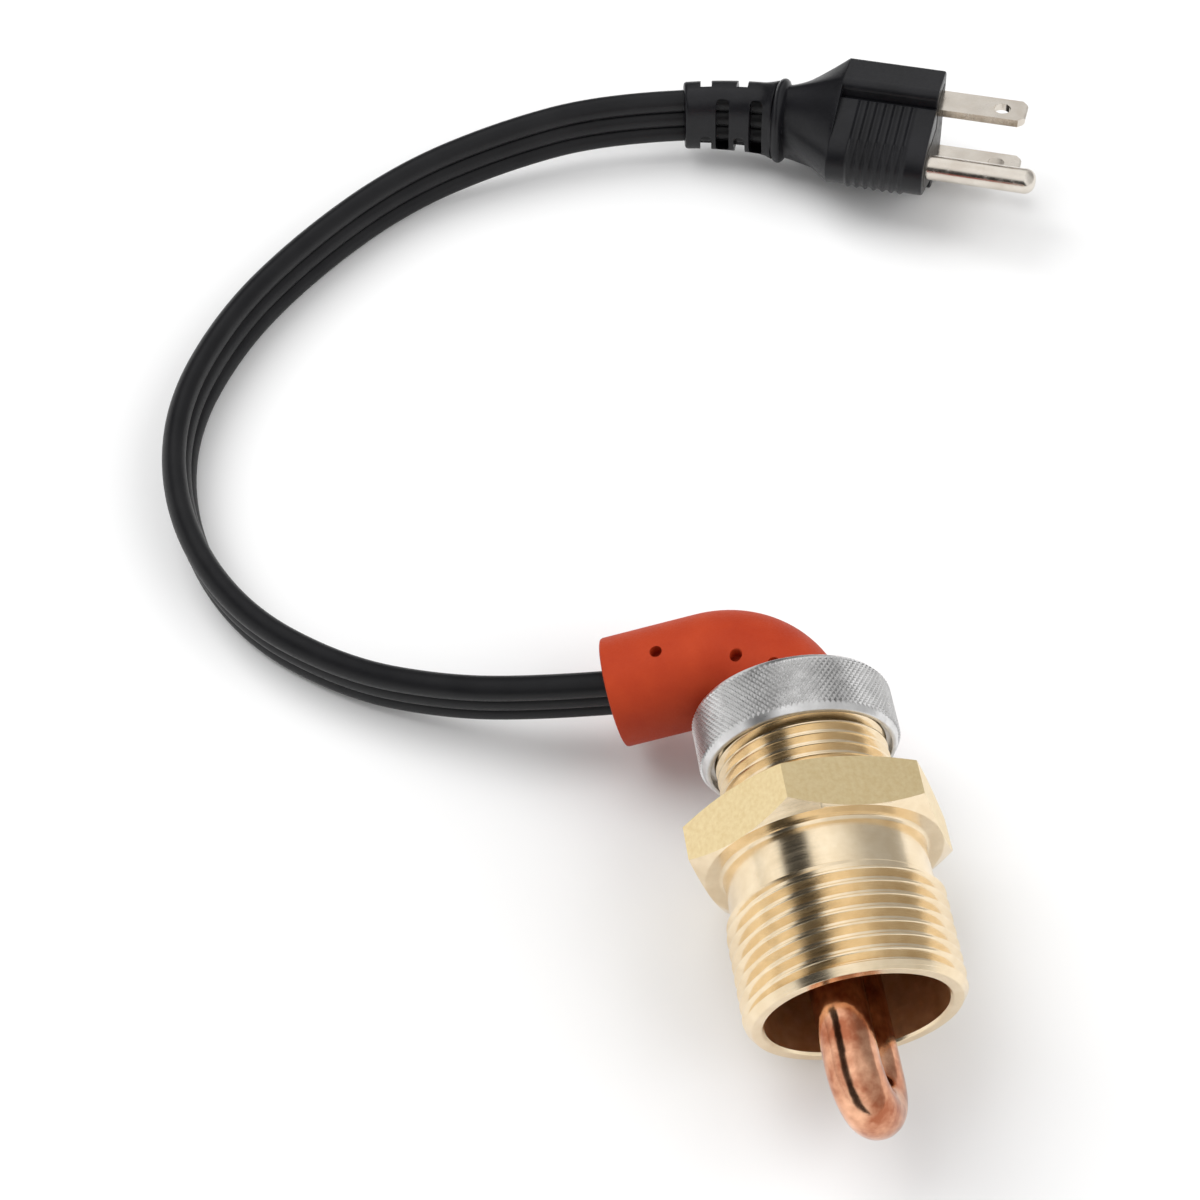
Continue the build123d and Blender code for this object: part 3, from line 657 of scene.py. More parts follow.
@dataclass
class BrassBody:
    """The turned body: block thread, neck, hexagon, relief groove and upper thread."""

    mouth_y: float = -16.35
    mouth_flat_radius: float = 15.6
    mouth_chamfer: float = 1.4
    lip_radius: float = 16.45
    lip_depth: float = 1.13
    bore_radius: float = 13.7
    bore_chamfer: float = 0.4
    bulkhead_front_y: float = 13.0
    bulkhead_back_y: float = 20.0
    neck_radius: float = 15.45
    neck_fillet: float = 0.8
    sealing_face_y: float = 8.3
    hex_across_flats: float = 36.5
    hex_roll: float = -11.0
    hex_length: float = 8.2
    hex_front_angle: float = 30.0
    hex_back_angle: float = 20.0
    hex_edge: float = 0.08
    flat_lean: float = 0.2
    relief_radius: float = 12.3
    relief_width: float = 1.3
    rear_y: float = 32.118
    rear_chamfer: float = 0.7
    socket_radius: float = 11.0
    block_thread: Thread = field(default_factory=lambda: Thread(16.67, 2.117, -16.3, 1.2))
    upper_thread: Thread = field(default_factory=lambda: Thread(13.5, 1.814, 17.7, 32.05))

    def block_limit(self, y: float) -> float:
        """The largest radius of the block thread at a y, from its two chamfers."""
        crest = self.block_thread.crest_radius
        mouth = self.mouth_flat_radius + (y - self.mouth_y) * (crest - self.mouth_flat_radius) / self.mouth_chamfer
        return max(self.neck_radius - 0.6, min(crest, mouth, crest - max(0.0, y - 0.25) * 1.5))

    def upper_limit(self, y: float) -> float:
        """The largest radius of the upper thread at a y, from its rear chamfer."""
        crest = self.upper_thread.crest_radius
        front = self.relief_radius + max(0.0, y - (self.sealing_face_y + self.hex_length + self.relief_width)) * 1.7
        return max(self.relief_radius - 0.6, min(crest, front, crest - max(0.0, y - self.rear_y + self.rear_chamfer)))

    def turned(self) -> bmesh.types.BMesh:
        """Spins everything but the threads' ridges and the hexagon."""
        hex_back = self.sealing_face_y + self.hex_length
        sink = 0.02
        outline = [
            (1.0, self.bulkhead_front_y),
            (self.bore_radius, self.bulkhead_front_y),
            (self.bore_radius, self.mouth_y + self.bore_chamfer),
            (self.bore_radius + self.bore_chamfer, self.mouth_y),
            (self.mouth_flat_radius, self.mouth_y),
            (self.lip_radius, self.mouth_y + self.lip_depth),
            (self.block_thread.root_radius, self.mouth_y + self.lip_depth + 0.6),
            (self.block_thread.root_radius, 0.9),
            (self.neck_radius, 1.0),
            (self.neck_radius, self.sealing_face_y),
            (self.neck_radius + self.neck_fillet, self.sealing_face_y + sink),
            (self.neck_radius + self.neck_fillet, hex_back - sink),
            (self.relief_radius, hex_back - sink),
            (self.relief_radius, hex_back + self.relief_width),
            (self.upper_thread.root_radius, hex_back + self.relief_width + 0.1),
            (self.upper_thread.root_radius, self.rear_y),
            (self.socket_radius + 0.4, self.rear_y),
            (self.socket_radius, self.rear_y - 0.4),
            (self.socket_radius, self.bulkhead_back_y),
            (1.0, self.bulkhead_back_y),
        ]
        bm = spun(rounded(outline, {3: 0.1, 4: 0.07, 5: 0.05, 9: self.neck_fillet, 16: 0.15}))
        # Faces inside the bore get the third finish, whose darker, redder colour is painted shade.
        for face in bm.faces:
            middle = face.calc_center_median()
            in_bore = math.hypot(middle.x, middle.z) < self.bore_radius + 0.02
            if in_bore and self.mouth_y + 0.2 < middle.y < self.bulkhead_front_y + 0.02:
                face.material_index = 2
        return bm

    def hexagon(self) -> bmesh.types.BMesh:
        """Cuts the chamfered hexagon from a turned disc, one flat at a time."""
        hex_back = self.sealing_face_y + self.hex_length
        flat = self.hex_across_flats / 2
        corner = self.hex_across_flats / math.sqrt(3)
        front_rise = (corner - flat) * math.tan(math.radians(self.hex_front_angle))
        back_rise = (corner - flat) * math.tan(math.radians(self.hex_back_angle))
        inner = self.neck_radius - 1.0
        bm = spun(
            [
                (inner, self.sealing_face_y),
                (flat, self.sealing_face_y),
                (corner, self.sealing_face_y + front_rise),
                (corner, hex_back - back_rise),
                (flat, hex_back),
                (inner, hex_back),
            ],
            steps=216,
        )
        for side in range(6):
            angle = math.radians(self.hex_roll + 30 + 60 * side)
            outward = Vector((math.cos(angle), 0, math.sin(angle)))
            cut = bmesh.ops.bisect_plane(
                bm,
                geom=list(bm.verts) + list(bm.edges) + list(bm.faces),
                dist=1e-4,
                plane_co=outward * flat,
                plane_no=outward,
                clear_outer=True,
            )
            rim = [item for item in cut["geom_cut"] if isinstance(item, bmesh.types.BMEdge)]
            bmesh.ops.contextual_create(bm, geom=rim)
        bmesh.ops.recalc_face_normals(bm, faces=bm.faces)
        crisp = [
            edge for edge in bm.edges
            if len(edge.link_faces) == 2 and edge.calc_face_angle(0.0) > math.radians(15)
        ]
        bmesh.ops.bevel(
            bm, geom=crisp, offset=self.hex_edge, offset_type="OFFSET", affect="EDGES", segments=2,
            profile=0.5, material=-1, clamp_overlap=True,
        )
        for face in bm.faces:
            face.material_index = 1 if abs(face.normal.y) < self.flat_lean else 0
        return bm

    def build(self) -> None:
        """Builds the body as one piece with three finishes; the third, inside the bore, carries painted shade."""
        bm = self.turned()
        join_into(bm, self.block_thread.ridge(self.block_limit))
        join_into(bm, self.upper_thread.ridge(self.upper_limit))
        join_into(bm, self.hexagon(), None)
        finish_piece(
            "brass_body_turned", bm, Body.HEATER,
            [BODY_BRASS.material(), HEX_BRASS.material(), BORE_BRASS_PAINTED_SHADE.material()], ["brass_body"], 24.0,
        )


@dataclass
class CouplingRing:
    """The knurled ring that clamps the boot to the body."""

    front_y: float = 26.518
    back_y: float = 36.318
    radius: float = 15.56
    knurl_height: float = 0.34
    knurl_top: float = 0.18
    front_radius: float = 15.0
    front_bevel: float = 1.2
    back_radius: float = 15.3
    back_bevel: float = 0.7
    counterbore_radius: float = 14.3
    counterbore_depth: float = 1.0
    bore_radius: float = 13.56
    lip_radius: float = 9.5
    lip_front_y: float = 34.218
    knurls_round: int = 112
    knurls_along: int = 8

    def blank(self) -> bmesh.types.BMesh:
        """Spins the ring without its knurl."""
        outline = [
            (self.counterbore_radius, self.front_y),
            (self.front_radius, self.front_y),
            (self.radius, self.front_y + self.front_bevel),
            (self.radius, self.back_y - self.back_bevel),
            (self.back_radius, self.back_y),
            (self.lip_radius, self.back_y),
            (self.lip_radius, self.lip_front_y),
            (self.bore_radius, self.lip_front_y),
            (self.bore_radius, self.front_y + self.counterbore_depth),
            (self.counterbore_radius, self.front_y + self.counterbore_depth),
        ]
        return spun(rounded(outline, {0: 0.1, 1: 0.3, 2: 0.15, 3: 0.2, 4: 0.25, 5: 0.25}), 168)

    def knurl(self) -> bmesh.types.BMesh:
        """Builds one column of diamond points and repeats it round the ring."""
        start = self.front_y + self.front_bevel - 0.25
        end = self.back_y - self.back_bevel + 0.2
        half_height = (end - start) / (2 * self.knurls_along)
        half_turn = math.pi / self.knurls_round
        base = self.radius - 0.03
        bm = bmesh.new()
        for row in range(2 * self.knurls_along - 1):
            middle_y = start + half_height * (row + 1)
            middle_turn = half_turn if row % 2 else 0.0
            corners = [
                (middle_turn - half_turn, middle_y),
                (middle_turn, middle_y - half_height),
                (middle_turn + half_turn, middle_y),
                (middle_turn, middle_y + half_height),
            ]
            foot = [
                bm.verts.new((base * math.cos(turn), y, base * math.sin(turn))) for turn, y in corners
            ]
            face = bm.faces.new(foot)
            bmesh.ops.inset_individual(bm, faces=[face], thickness=0.05, depth=0.0)
            middle = face.calc_center_median()
            for vert in face.verts:
                vert.co = middle + (vert.co - middle) * self.knurl_top
                grow = (self.radius + self.knurl_height) / math.hypot(vert.co.x, vert.co.z)
                vert.co.x *= grow
                vert.co.z *= grow
        bmesh.ops.spin(
            bm,
            geom=list(bm.verts) + list(bm.edges) + list(bm.faces),
            cent=(0, 0, 0),
            axis=(0, 1, 0),
            angle=2 * math.pi * (self.knurls_round - 1) / self.knurls_round,
            steps=self.knurls_round - 1,
            use_duplicate=True,
        )
        bmesh.ops.recalc_face_normals(bm, faces=bm.faces)
        return bm

    def build(self) -> None:
        """Builds the ring."""
        bm = self.blank()
        join_into(bm, self.knurl())
        finish_piece(
            "coupling_ring_knurled", bm, Body.RING, [RING_METAL.material()],
            ["coupling_ring"], 25.0,
        )


@dataclass
class ElbowBoot:
    """The silicone boot: flange, neck, bend and arm, with three holes left by mould pins."""

    flange_radius: float = 12.6
    flange_front_y: float = 32.218
    flange_thickness: float = 1.9
    neck_radius: float = 9.3
    arm_radius: float = 9.05
    bend_radius: float = 11.5
    corner_y: float = 46.918
    arm_length: float = 27.4
    arm_droop: float = 14.0
    edge_round: float = 0.45
    end_land: float = 7.6
    end_dish: float = 0.7
    hole_radius: float = 1.0
    hole_depth: float = 2.4
    hole_flare: float = 0.18
    holes: Sequence[tuple[float, float]] = ((18.3, 0.0), (6.0, -4.2), (0.4, -7.5))
    facets: int = 96

    @property
    def along(self) -> Vector:
        """The direction of the arm, away from the corner."""
        droop = math.radians(self.arm_droop)
        return Vector((-math.cos(droop), 0.0, -math.sin(droop)))

    @property
    def upward(self) -> Vector:
        """The direction square to the bend's plane, upwards."""
        droop = math.radians(self.arm_droop)
        return Vector((-math.sin(droop), 0.0, math.cos(droop)))

    def ring(self, middle: Vector, heading: Vector, radius: float) -> list[Vector]:
        """Returns a round section square to the boot's middle line.

        Args:
            middle: the section's centre.
            heading: the middle line's direction there.
            radius: the section's radius.

        Returns:
            The section's points.
        """
        return round_ring(middle, heading.cross(self.upward), self.upward, radius, self.facets)

    def body(self) -> bmesh.types.BMesh:
        """Skins the boot from its flange to its open end."""
        forth = Vector((0.0, 1.0, 0.0))
        flange_back = self.flange_front_y + self.flange_thickness
        soft = self.edge_round
        rings = []
        for y, radius in (
            (self.flange_front_y, self.flange_radius - soft),
            (self.flange_front_y + 0.3 * soft, self.flange_radius - 0.3 * soft),
            (self.flange_front_y + soft, self.flange_radius),
            (flange_back - soft, self.flange_radius),
            (flange_back - 0.3 * soft, self.flange_radius - 0.3 * soft),
            (flange_back, self.flange_radius - soft),
            (flange_back, self.neck_radius + soft),
            (flange_back + soft, self.neck_radius),
        ):
            rings.append(self.ring(forth * y, forth, radius))
        bend_start = self.corner_y - self.bend_radius
        centre = forth * bend_start + self.along * self.bend_radius
        steps = 28
        for step in range(steps + 1):
            turn = math.pi / 2 * step / steps
            middle = centre + (forth * math.sin(turn) - self.along * math.cos(turn)) * self.bend_radius
            heading = forth * math.cos(turn) + self.along * math.sin(turn)
            radius = self.neck_radius + (self.arm_radius - self.neck_radius) * step / steps
            rings.append(self.ring(middle, heading, radius))
        corner = forth * self.corner_y
        end = self.arm_length
        for reach, radius in (
            (0.5 * end, self.arm_radius),
            (end - soft, self.arm_radius),
            (end - 0.3 * soft, self.arm_radius - 0.3 * soft),
            (end, self.arm_radius - soft),
            (end, self.end_land),
            (end - self.end_dish, self.end_land - self.end_dish),
        ):
            rings.append(self.ring(corner + self.along * reach, self.along, radius))
        return loft(rings)

    def pins(self) -> bmesh.types.BMesh:
        """Builds the shapes of the mould pins, flared where they leave the surface."""
        bm = bmesh.new()
        floor = self.arm_radius - self.hole_depth
        for reach, forth in self.holes:
            foot = Vector((0.0, self.corner_y + forth, 0.0)) + self.along * reach
            off_line = self.off_line(reach, forth)
            surface = math.sqrt(max(0.1, self.neck_radius**2 - off_line**2))
            rings = []
            for height, radius in (
                (floor, self.hole_radius * 0.8),
                (floor + 0.2, self.hole_radius),
                (surface - self.hole_flare, self.hole_radius),
                (surface, self.hole_radius + 0.5 * self.hole_flare),
                (surface + self.hole_flare, self.hole_radius + 1.6 * self.hole_flare),
                (surface + 3.0, self.hole_radius + 1.6 * self.hole_flare),
            ):
                across = self.upward.cross(self.along)
                rings.append(round_ring(foot + self.upward * height, self.along, across, radius, 32))
            join_into(bm, loft(rings))
        return bm

    def off_line(self, reach: float, forth: float) -> float:
        """The distance from a place in the bend's plane to the boot's middle line."""
        if reach >= self.bend_radius:
            return abs(forth)
        inner = math.hypot(self.bend_radius - reach, forth + self.bend_radius)
        return abs(inner - self.bend_radius)

    def build(self) -> bpy.types.Object:
        """Builds the boot."""
        return finish_piece(
            "elbow_boot_moulded", carved(self.body(), self.pins()), Body.CONNECTOR,
            [BOOT_RUBBER.material()], ["elbow_boot"], 40.0,
        )


@dataclass
class PlugCover:
    """The moulded cover: block, ribbed bulge, cone, collar and slotted strain relief."""

    face: tuple[float, float, float] = (54.6, 165.6, -7.0)
    heading: float = -24.1
    nose_up: float = 4.2
    roll: float = -7.1
    face_gap: float = 0.08
    block_width: float = 22.6
    block_thickness: float = 9.2
    block_corner: float = 1.6
    cover_length: float = 18.6
    bulge_half_width: float = 7.8
    bulge_radius: float = 5.5
    prong_offset: float = 11.9
    bead_radius: float = 0.5
    bead_offset: float = 5.2
    rib_count: int = 7
    rib_pitch: float = 1.7
    rib_first: float = 4.4
    rib_height: float = 0.42
    middle: float = 4.2
    cone_start: float = 29.3
    cone_width: float = 15.8
    cone_thickness: float = 9.8
    relief_start: float = 31.9
    relief_radius: float = 57.0
    relief_turn: float = 18.0
    windows: Sequence[float] = (0.17, 0.565)
    notches: Sequence[float] = (0.365, 0.76)
    window_length: float = 2.6
    notch_length: float = 2.2
    slot_edge: float = 0.16

    def placement(self) -> Matrix:
        """Returns the move from the plug's frame: x across the blades, y to the prong, z out of the face."""
        turn = Matrix.Rotation(math.radians(self.heading), 3, "Z")
        turn = turn @ Matrix.Rotation(math.radians(-self.nose_up), 3, "Y")
        out = turn @ Vector((1, 0, 0))
        across = Matrix.Rotation(math.radians(self.roll), 3, out) @ turn @ Vector((0, 0, 1))
        basis = Matrix((across, out.cross(across), out)).transposed().to_4x4()
        return Matrix.Translation(Vector(self.face)) @ basis

    def bulge_outline(self) -> list[tuple[float, float]]:
        """The bulge's section, with a small bead along each upper edge."""
        points = [(self.bulge_half_width, self.middle - 0.5), (-self.bulge_half_width, self.middle - 0.5)]
        for index in range(96):
            turn = 2 * math.pi * index / 96
            side, up = math.cos(turn), math.sin(turn)
            points.append((self.bulge_radius * side, self.prong_offset + self.bulge_radius * up))
            for edge in (-1, 1):
                points.append((
                    edge * self.bulge_half_width + self.bead_radius * side,
                    self.bead_offset + self.bead_radius * up,
                ))
        return hull(points)

    def prism(self, outline: Outline, steps: Sequence[tuple[float, float]]) -> bmesh.types.BMesh:
        """Skins an outline along the plug's axis.

        Args:
            outline: the section.
            steps: distance behind the face and growth of the section there.

        Returns:
            The prism.
        """
        rings = []
        for back, growth in steps:
            rings.append([Vector((x, y, -back)) for x, y in grown(outline, [growth])])
        return loft(rings)

    def block(self) -> bmesh.types.BMesh:
        """Builds the block that holds the blades."""
        outline = soft_box(self.block_width, self.block_thickness, self.block_corner)
        gap = self.face_gap
        return self.prism(outline, ((self.cover_length + 0.1, 0.0), (gap + 0.4, 0.0), (gap + 0.12, -0.1), (gap, -0.4)))

    def bulge(self) -> bmesh.types.BMesh:
        """Builds the bulge round the prong, with its ribs."""
        outline = self.bulge_outline()
        weights = [min(1.0, max(0.0, (y - 5.9) / 0.9)) for _, y in outline]
        rings = []
        gap = self.face_gap
        last = self.rib_first + (self.rib_count - 1) * self.rib_pitch
        samples = [gap, gap + 0.12, gap + 0.4]
        samples += [
            self.rib_first - self.rib_pitch / 2 + step * self.rib_pitch / 10 for step in range(10 * self.rib_count + 1)
        ]
        samples.append(self.cover_length + 0.1)
        for back in samples:
            edge = {gap: -0.4, gap + 0.12: -0.1}.get(back, 0.0)
            near = self.rib_first + round((min(max(back, self.rib_first), last) - self.rib_first) / self.rib_pitch) * self.rib_pitch
            swell = max(0.0, math.cos(math.pi * min(0.5, abs(back - near) / self.rib_pitch))) ** 3 * self.rib_height
            rings.append([Vector((x, y, -back)) for x, y in grown(outline, [edge + swell * weight for weight in weights])])
        return loft(rings)

    def cone(self) -> bmesh.types.BMesh:
        """Builds the cone from the collar up to the whole outline of block and bulge."""
        centre = (0.0, self.middle)
        small = polar(oval(self.cone_width, self.cone_thickness, self.middle), centre, 144)
        whole = soft_box(self.block_width, self.block_thickness, self.block_corner) + self.bulge_outline()
        large = polar(hull(whole), centre, 144)
        rings = []
        steps = 14
        for step in range(steps + 1):
            t = step / steps
            back = self.cone_start + (self.cover_length + 0.25 - self.cone_start) * t
            share = t**1.15
            rings.append([
                Vector((a[0] + (b[0] - a[0]) * share, a[1] + (b[1] - a[1]) * share, -back))
                for a, b in zip(small, large)
            ])
        for back, growth in ((self.cover_length + 0.08, 0.02), (self.cover_length, -0.12)):
            rings.append([Vector((x, y, -back)) for x, y in grown(large, [growth])])
        return loft(rings)

    def collar(self) -> bmesh.types.BMesh:
        """Builds the rounded collar between cone and strain relief."""
        rings = []
        for back, width, thickness in (
            (28.9, 15.0, 9.2), (29.35, 15.9, 10.1), (29.45, 16.3, 10.7), (29.7, 16.9, 11.6), (30.05, 17.35, 12.25),
            (30.45, 17.5, 12.45), (30.85, 17.35, 12.25), (31.2, 16.9, 11.7), (31.45, 16.3, 11.0), (31.55, 15.9, 10.6),
            (32.4, 15.0, 9.6),
        ):
            rings.append([Vector((x, y, -back)) for x, y in oval(width, thickness, self.middle, 2.2)])
        return loft(rings)

    def station(self, share: float) -> tuple[Vector, Vector, Vector]:
        """Returns the relief's middle, its heading and its thin side's direction at a share of its length."""
        turn = math.radians(self.relief_turn) * share
        rise = self.middle + self.relief_radius * (1 - math.cos(turn))
        middle = Vector((0.0, rise, -self.relief_start - self.relief_radius * math.sin(turn)))
        heading = Vector((0.0, math.sin(turn), -math.cos(turn)))
        return middle, heading, Vector((0.0, math.cos(turn), math.sin(turn)))

    def relief_width(self, share: float) -> float:
        """The relief's width at a share of its length."""
        return 14.7 - 1.2 * share + 1.1 * max(0.0, 1 - share / 0.14) ** 1.5

    def relief(self) -> bmesh.types.BMesh:
        """Builds the strain relief with its slots."""
        length = self.relief_radius * math.radians(self.relief_turn)
        rings = []
        edges = [(1 - 0.5 / length, 0.0), (1 - 0.15 / length, -0.15), (1.0, -0.5)]
        for share, growth in [(index / 28 * 0.965 - 0.01, 0.0) for index in range(29)] + edges:
            middle, _, thin = self.station(share)
            width = self.relief_width(share)
            outline = grown(oval(width, width * 0.635, 0.0, 2.7), [growth])
            rings.append([middle + Vector((x, 0, 0)) + thin * y for x, y in outline])
        bm = carved(loft(rings), self.slots())
        crisp = [
            edge for edge in bm.edges
            if len(edge.link_faces) == 2 and edge.calc_face_angle(0.0) > math.radians(40)
        ]
        bmesh.ops.bevel(
            bm, geom=crisp, offset=self.slot_edge, offset_type="OFFSET", affect="EDGES", segments=2,
            profile=0.5, material=-1, clamp_overlap=True,
        )
        return bm

    def slots(self) -> bmesh.types.BMesh:
        """Builds the shapes that the slots take away."""
        bm = bmesh.new()
        cuts = []
        for share in self.windows:
            width = self.relief_width(share) - 2.2
            outline = soft_box(width, self.window_length, 0.8)
            cuts += [(share, outline, 0.35, 9.0), (share, outline, -0.35, -9.0)]
        for share in self.notches:
            cuts.append((share, soft_box(12.0, self.notch_length, 1.05, -8.0), -0.3, 9.0))
            cuts.append((share, soft_box(12.0, self.notch_length, 1.05, 8.0), 0.3, -9.0))
        for share, outline, start, end in cuts:
            middle, heading, thin = self.station(share)
            rings = [
                [middle + Vector((x, 0, 0)) + heading * along + thin * depth for x, along in outline]
                for depth in (start, end)
            ]
            join_into(bm, loft(rings))
        return bm

    def core(self, section: Outline) -> bmesh.types.BMesh:
        """Builds the cord inside the strain relief, which shows through its slots.

        Args:
            section: the cord's outline, as (sideways, up).

        Returns:
            The core.
        """
        rings = []
        for index in range(21):
            middle, _, thin = self.station(0.02 + 0.965 * index / 20)
            rings.append([middle + Vector((up, 0, 0)) + thin * side for side, up in section])
        return loft(rings)

    def build(self, cord_section: Outline) -> bpy.types.Object:
        """Builds the cover.

        Args:
            cord_section: the cord's outline, as (sideways, up).

        Returns:
            The cover's piece.
        """
        bm = self.block()
        for part in (self.bulge(), self.cone(), self.collar(), self.relief()):
            join_into(bm, part)
        join_into(bm, self.core(cord_section), 1)
        bmesh.ops.transform(bm, matrix=self.placement(), verts=bm.verts)
        return finish_piece(
            "plug_cover_moulded", bm, Body.CONNECTOR,
            [PLUG_VINYL.material(), CORD_RUBBER.material()], ["plug_cover"], 32.0,
        )


@dataclass
class Studio:
    """Camera, lights and floor."""

    lens: float = 66.0
    position: tuple[float, float, float] = (-54.8, -138.0, 297.5)
    forward: tuple[float, float, float] = (0.0778, 0.5538, -0.829)
    floor_size: float = 6000.0
    white_from: float = 0.3
    white_beyond: float = 0.7
    room_strength: float = 0.6
    gap_side: tuple[float, float, float] = (0.71, -0.146, 0.69)
    gap_tones: Sequence[tuple[float, float]] = (
        (0.0, 0.04), (0.19, 0.045), (0.31, 0.97), (0.5, 1.0), (0.82, 0.7), (1.0, 0.62)
    )
    seen_strength: float = 1.15
    shade_side: tuple[float, float, float] = (0.774, 0.554, 0.308)
    shade_tone: float = 0.6
    low_tone: float = 0.8

    def camera(self) -> None:
        """Places the camera where the photograph was taken."""
        data = bpy.data.cameras.new("photo_camera")
        data.lens = self.lens
        data.sensor_width = 36.0
        data.clip_start = 0.01
        camera = bpy.data.objects.new("photo_camera", data)
        aim = Vector(self.forward).normalized()
        right = aim.cross(Vector((0, 0, 1))).normalized()
        up = right.cross(aim)
        turn = Matrix((right, up, -aim)).transposed().to_4x4()
        camera.matrix_world = Matrix.Translation(Vector(self.position) * MM) @ turn
        bpy.context.collection.objects.link(camera)
        bpy.context.scene.camera = camera

    def lamp(self, name: str, place: Vector, size: float, power: float) -> None:
        """Adds a square soft light aimed at the middle of the object.

        Args:
            name: the lamp's name.
            place: its place in metres.
            size: its side in metres.
            power: its power in watts.
        """
        data = bpy.data.lights.new(name, "AREA")
        data.size = size
        data.energy = power
        lamp = bpy.data.objects.new(name, data)
        lamp.visible_glossy = False
        aim = (Vector((0.0, 0.06, 0.0)) - place).normalized()
        lamp.matrix_world = Matrix.Translation(place) @ aim.to_track_quat("-Z", "Y").to_matrix().to_4x4()
        bpy.context.collection.objects.link(lamp)

    def floor(self) -> None:
        """Lays a pale floor that keeps the object's shadow."""
        bm = bmesh.new()
        bmesh.ops.create_grid(bm, x_segments=1, y_segments=1, size=self.floor_size / 2 * MM)
        mesh = bpy.data.meshes.new("floor")
        bmesh.ops.translate(bm, verts=bm.verts, vec=(0, 0, FLOOR_Z * MM))
        bm.to_mesh(mesh)
        bm.free()
        material = bpy.data.materials.new("pale_floor")
        material.use_nodes = True
        tree = material.node_tree
        shader = tree.nodes["Principled BSDF"]
        shader.inputs["Base Color"].default_value = (0.9, 0.9, 0.9, 1.0)
        shader.inputs["Roughness"].default_value = 0.9
        shader.inputs["Specular IOR Level"].default_value = 0.1
        self.whiten_far_floor(tree, shader)
        mesh.materials.append(material)
        floor = bpy.data.objects.new("floor", mesh)
        bpy.context.collection.objects.link(floor)

    def whiten_far_floor(self, tree: bpy.types.NodeTree, shader: bpy.types.ShaderNode) -> None:
        """Makes the floor plain white far from the object, as the camera and mirror surfaces see it.

        Args:
            tree: the floor material's node tree.
            shader: the floor's own shader.
        """
        coords = tree.nodes.new("ShaderNodeTexCoord")
        reach = tree.nodes.new("ShaderNodeVectorMath")
        reach.operation = "LENGTH"
        tree.links.new(coords.outputs["Object"], reach.inputs[0])
        far = tree.nodes.new("ShaderNodeMapRange")
        far.inputs["From Min"].default_value = self.white_from
        far.inputs["From Max"].default_value = self.white_beyond
        tree.links.new(reach.outputs["Value"], far.inputs["Value"])
        rays = tree.nodes.new("ShaderNodeLightPath")
        seen = rays.outputs["Is Camera Ray"]
        for kind in ("Is Glossy Ray", "Is Transmission Ray"):
            either = tree.nodes.new("ShaderNodeMath")
            either.operation = "MAXIMUM"
            tree.links.new(seen, either.inputs[0])
            tree.links.new(rays.outputs[kind], either.inputs[1])
            seen = either.outputs["Value"]
        share = tree.nodes.new("ShaderNodeMath")
        share.operation = "MULTIPLY"
        tree.links.new(seen, share.inputs[0])
        tree.links.new(far.outputs["Result"], share.inputs[1])
        white = tree.nodes.new("ShaderNodeEmission")
        white.inputs["Strength"].default_value = 1.0
        mix = tree.nodes.new("ShaderNodeMixShader")
        tree.links.new(share.outputs["Value"], mix.inputs["Fac"])
        tree.links.new(shader.outputs["BSDF"], mix.inputs[1])
        tree.links.new(white.outputs["Emission"], mix.inputs[2])
        tree.links.new(mix.outputs["Shader"], tree.nodes["Material Output"].inputs["Surface"])

    def world(self) -> None:
        """Sets a pale world, which metal and glass see as a white room with one dark gap."""
        world = bpy.data.worlds.new("pale_room")
        world.use_nodes = True
        tree = world.node_tree
        tree.nodes.clear()
        output = tree.nodes.new("ShaderNodeOutputWorld")
        plain = tree.nodes.new("ShaderNodeBackground")
        plain.inputs["Strength"].default_value = self.room_strength
        seen = tree.nodes.new("ShaderNodeBackground")
        coords = tree.nodes.new("ShaderNodeTexCoord")
        lean = tree.nodes.new("ShaderNodeVectorMath")
        lean.operation = "DOT_PRODUCT"
        lean.inputs[1].default_value = self.gap_side
        size = tree.nodes.new("ShaderNodeMath")
        size.operation = "ABSOLUTE"
        edge = tree.nodes.new("ShaderNodeValToRGB")
        edge.color_ramp.interpolation = "EASE"
        stops = edge.color_ramp.elements
        for position, _ in self.gap_tones[1:-1]:
            stops.new(position)
        for stop, (_, tone) in zip(stops, self.gap_tones):
            stop.color = (tone, tone, tone, 1.0)
        seen.inputs["Strength"].default_value = self.seen_strength
        tree.links.new(coords.outputs["Generated"], lean.inputs[0])
        tree.links.new(lean.outputs["Value"], size.inputs[0])
        tree.links.new(size.outputs["Value"], edge.inputs["Fac"])
        shade = self.soft_side(tree, coords, self.shade_side, (0.7, 0.95), (1.0, self.shade_tone))
        lift = self.soft_side(tree, coords, (-0.2, 0.2, 0.96), (-0.1, 0.8), (self.low_tone, 1.0))
        tone = edge.outputs["Color"]
        for factor in (shade, lift):
            product = tree.nodes.new("ShaderNodeMath")
            product.operation = "MULTIPLY"
            tree.links.new(tone, product.inputs[0])
            tree.links.new(factor, product.inputs[1])
            tone = product.outputs["Value"]
        tree.links.new(tone, seen.inputs["Color"])
        ray = tree.nodes.new("ShaderNodeLightPath")
        mix = tree.nodes.new("ShaderNodeMixShader")
        tree.links.new(ray.outputs["Is Glossy Ray"], mix.inputs["Fac"])
        tree.links.new(plain.outputs["Background"], mix.inputs[1])
        tree.links.new(seen.outputs["Background"], mix.inputs[2])
        white = tree.nodes.new("ShaderNodeBackground")
        white.inputs["Color"].default_value = (1.0, 1.0, 1.0, 1.0)
        straight = tree.nodes.new("ShaderNodeMath")
        straight.operation = "MAXIMUM"
        tree.links.new(ray.outputs["Is Camera Ray"], straight.inputs[0])
        tree.links.new(ray.outputs["Is Transmission Ray"], straight.inputs[1])
        whole = tree.nodes.new("ShaderNodeMixShader")
        tree.links.new(straight.outputs["Value"], whole.inputs["Fac"])
        tree.links.new(mix.outputs["Shader"], whole.inputs[1])
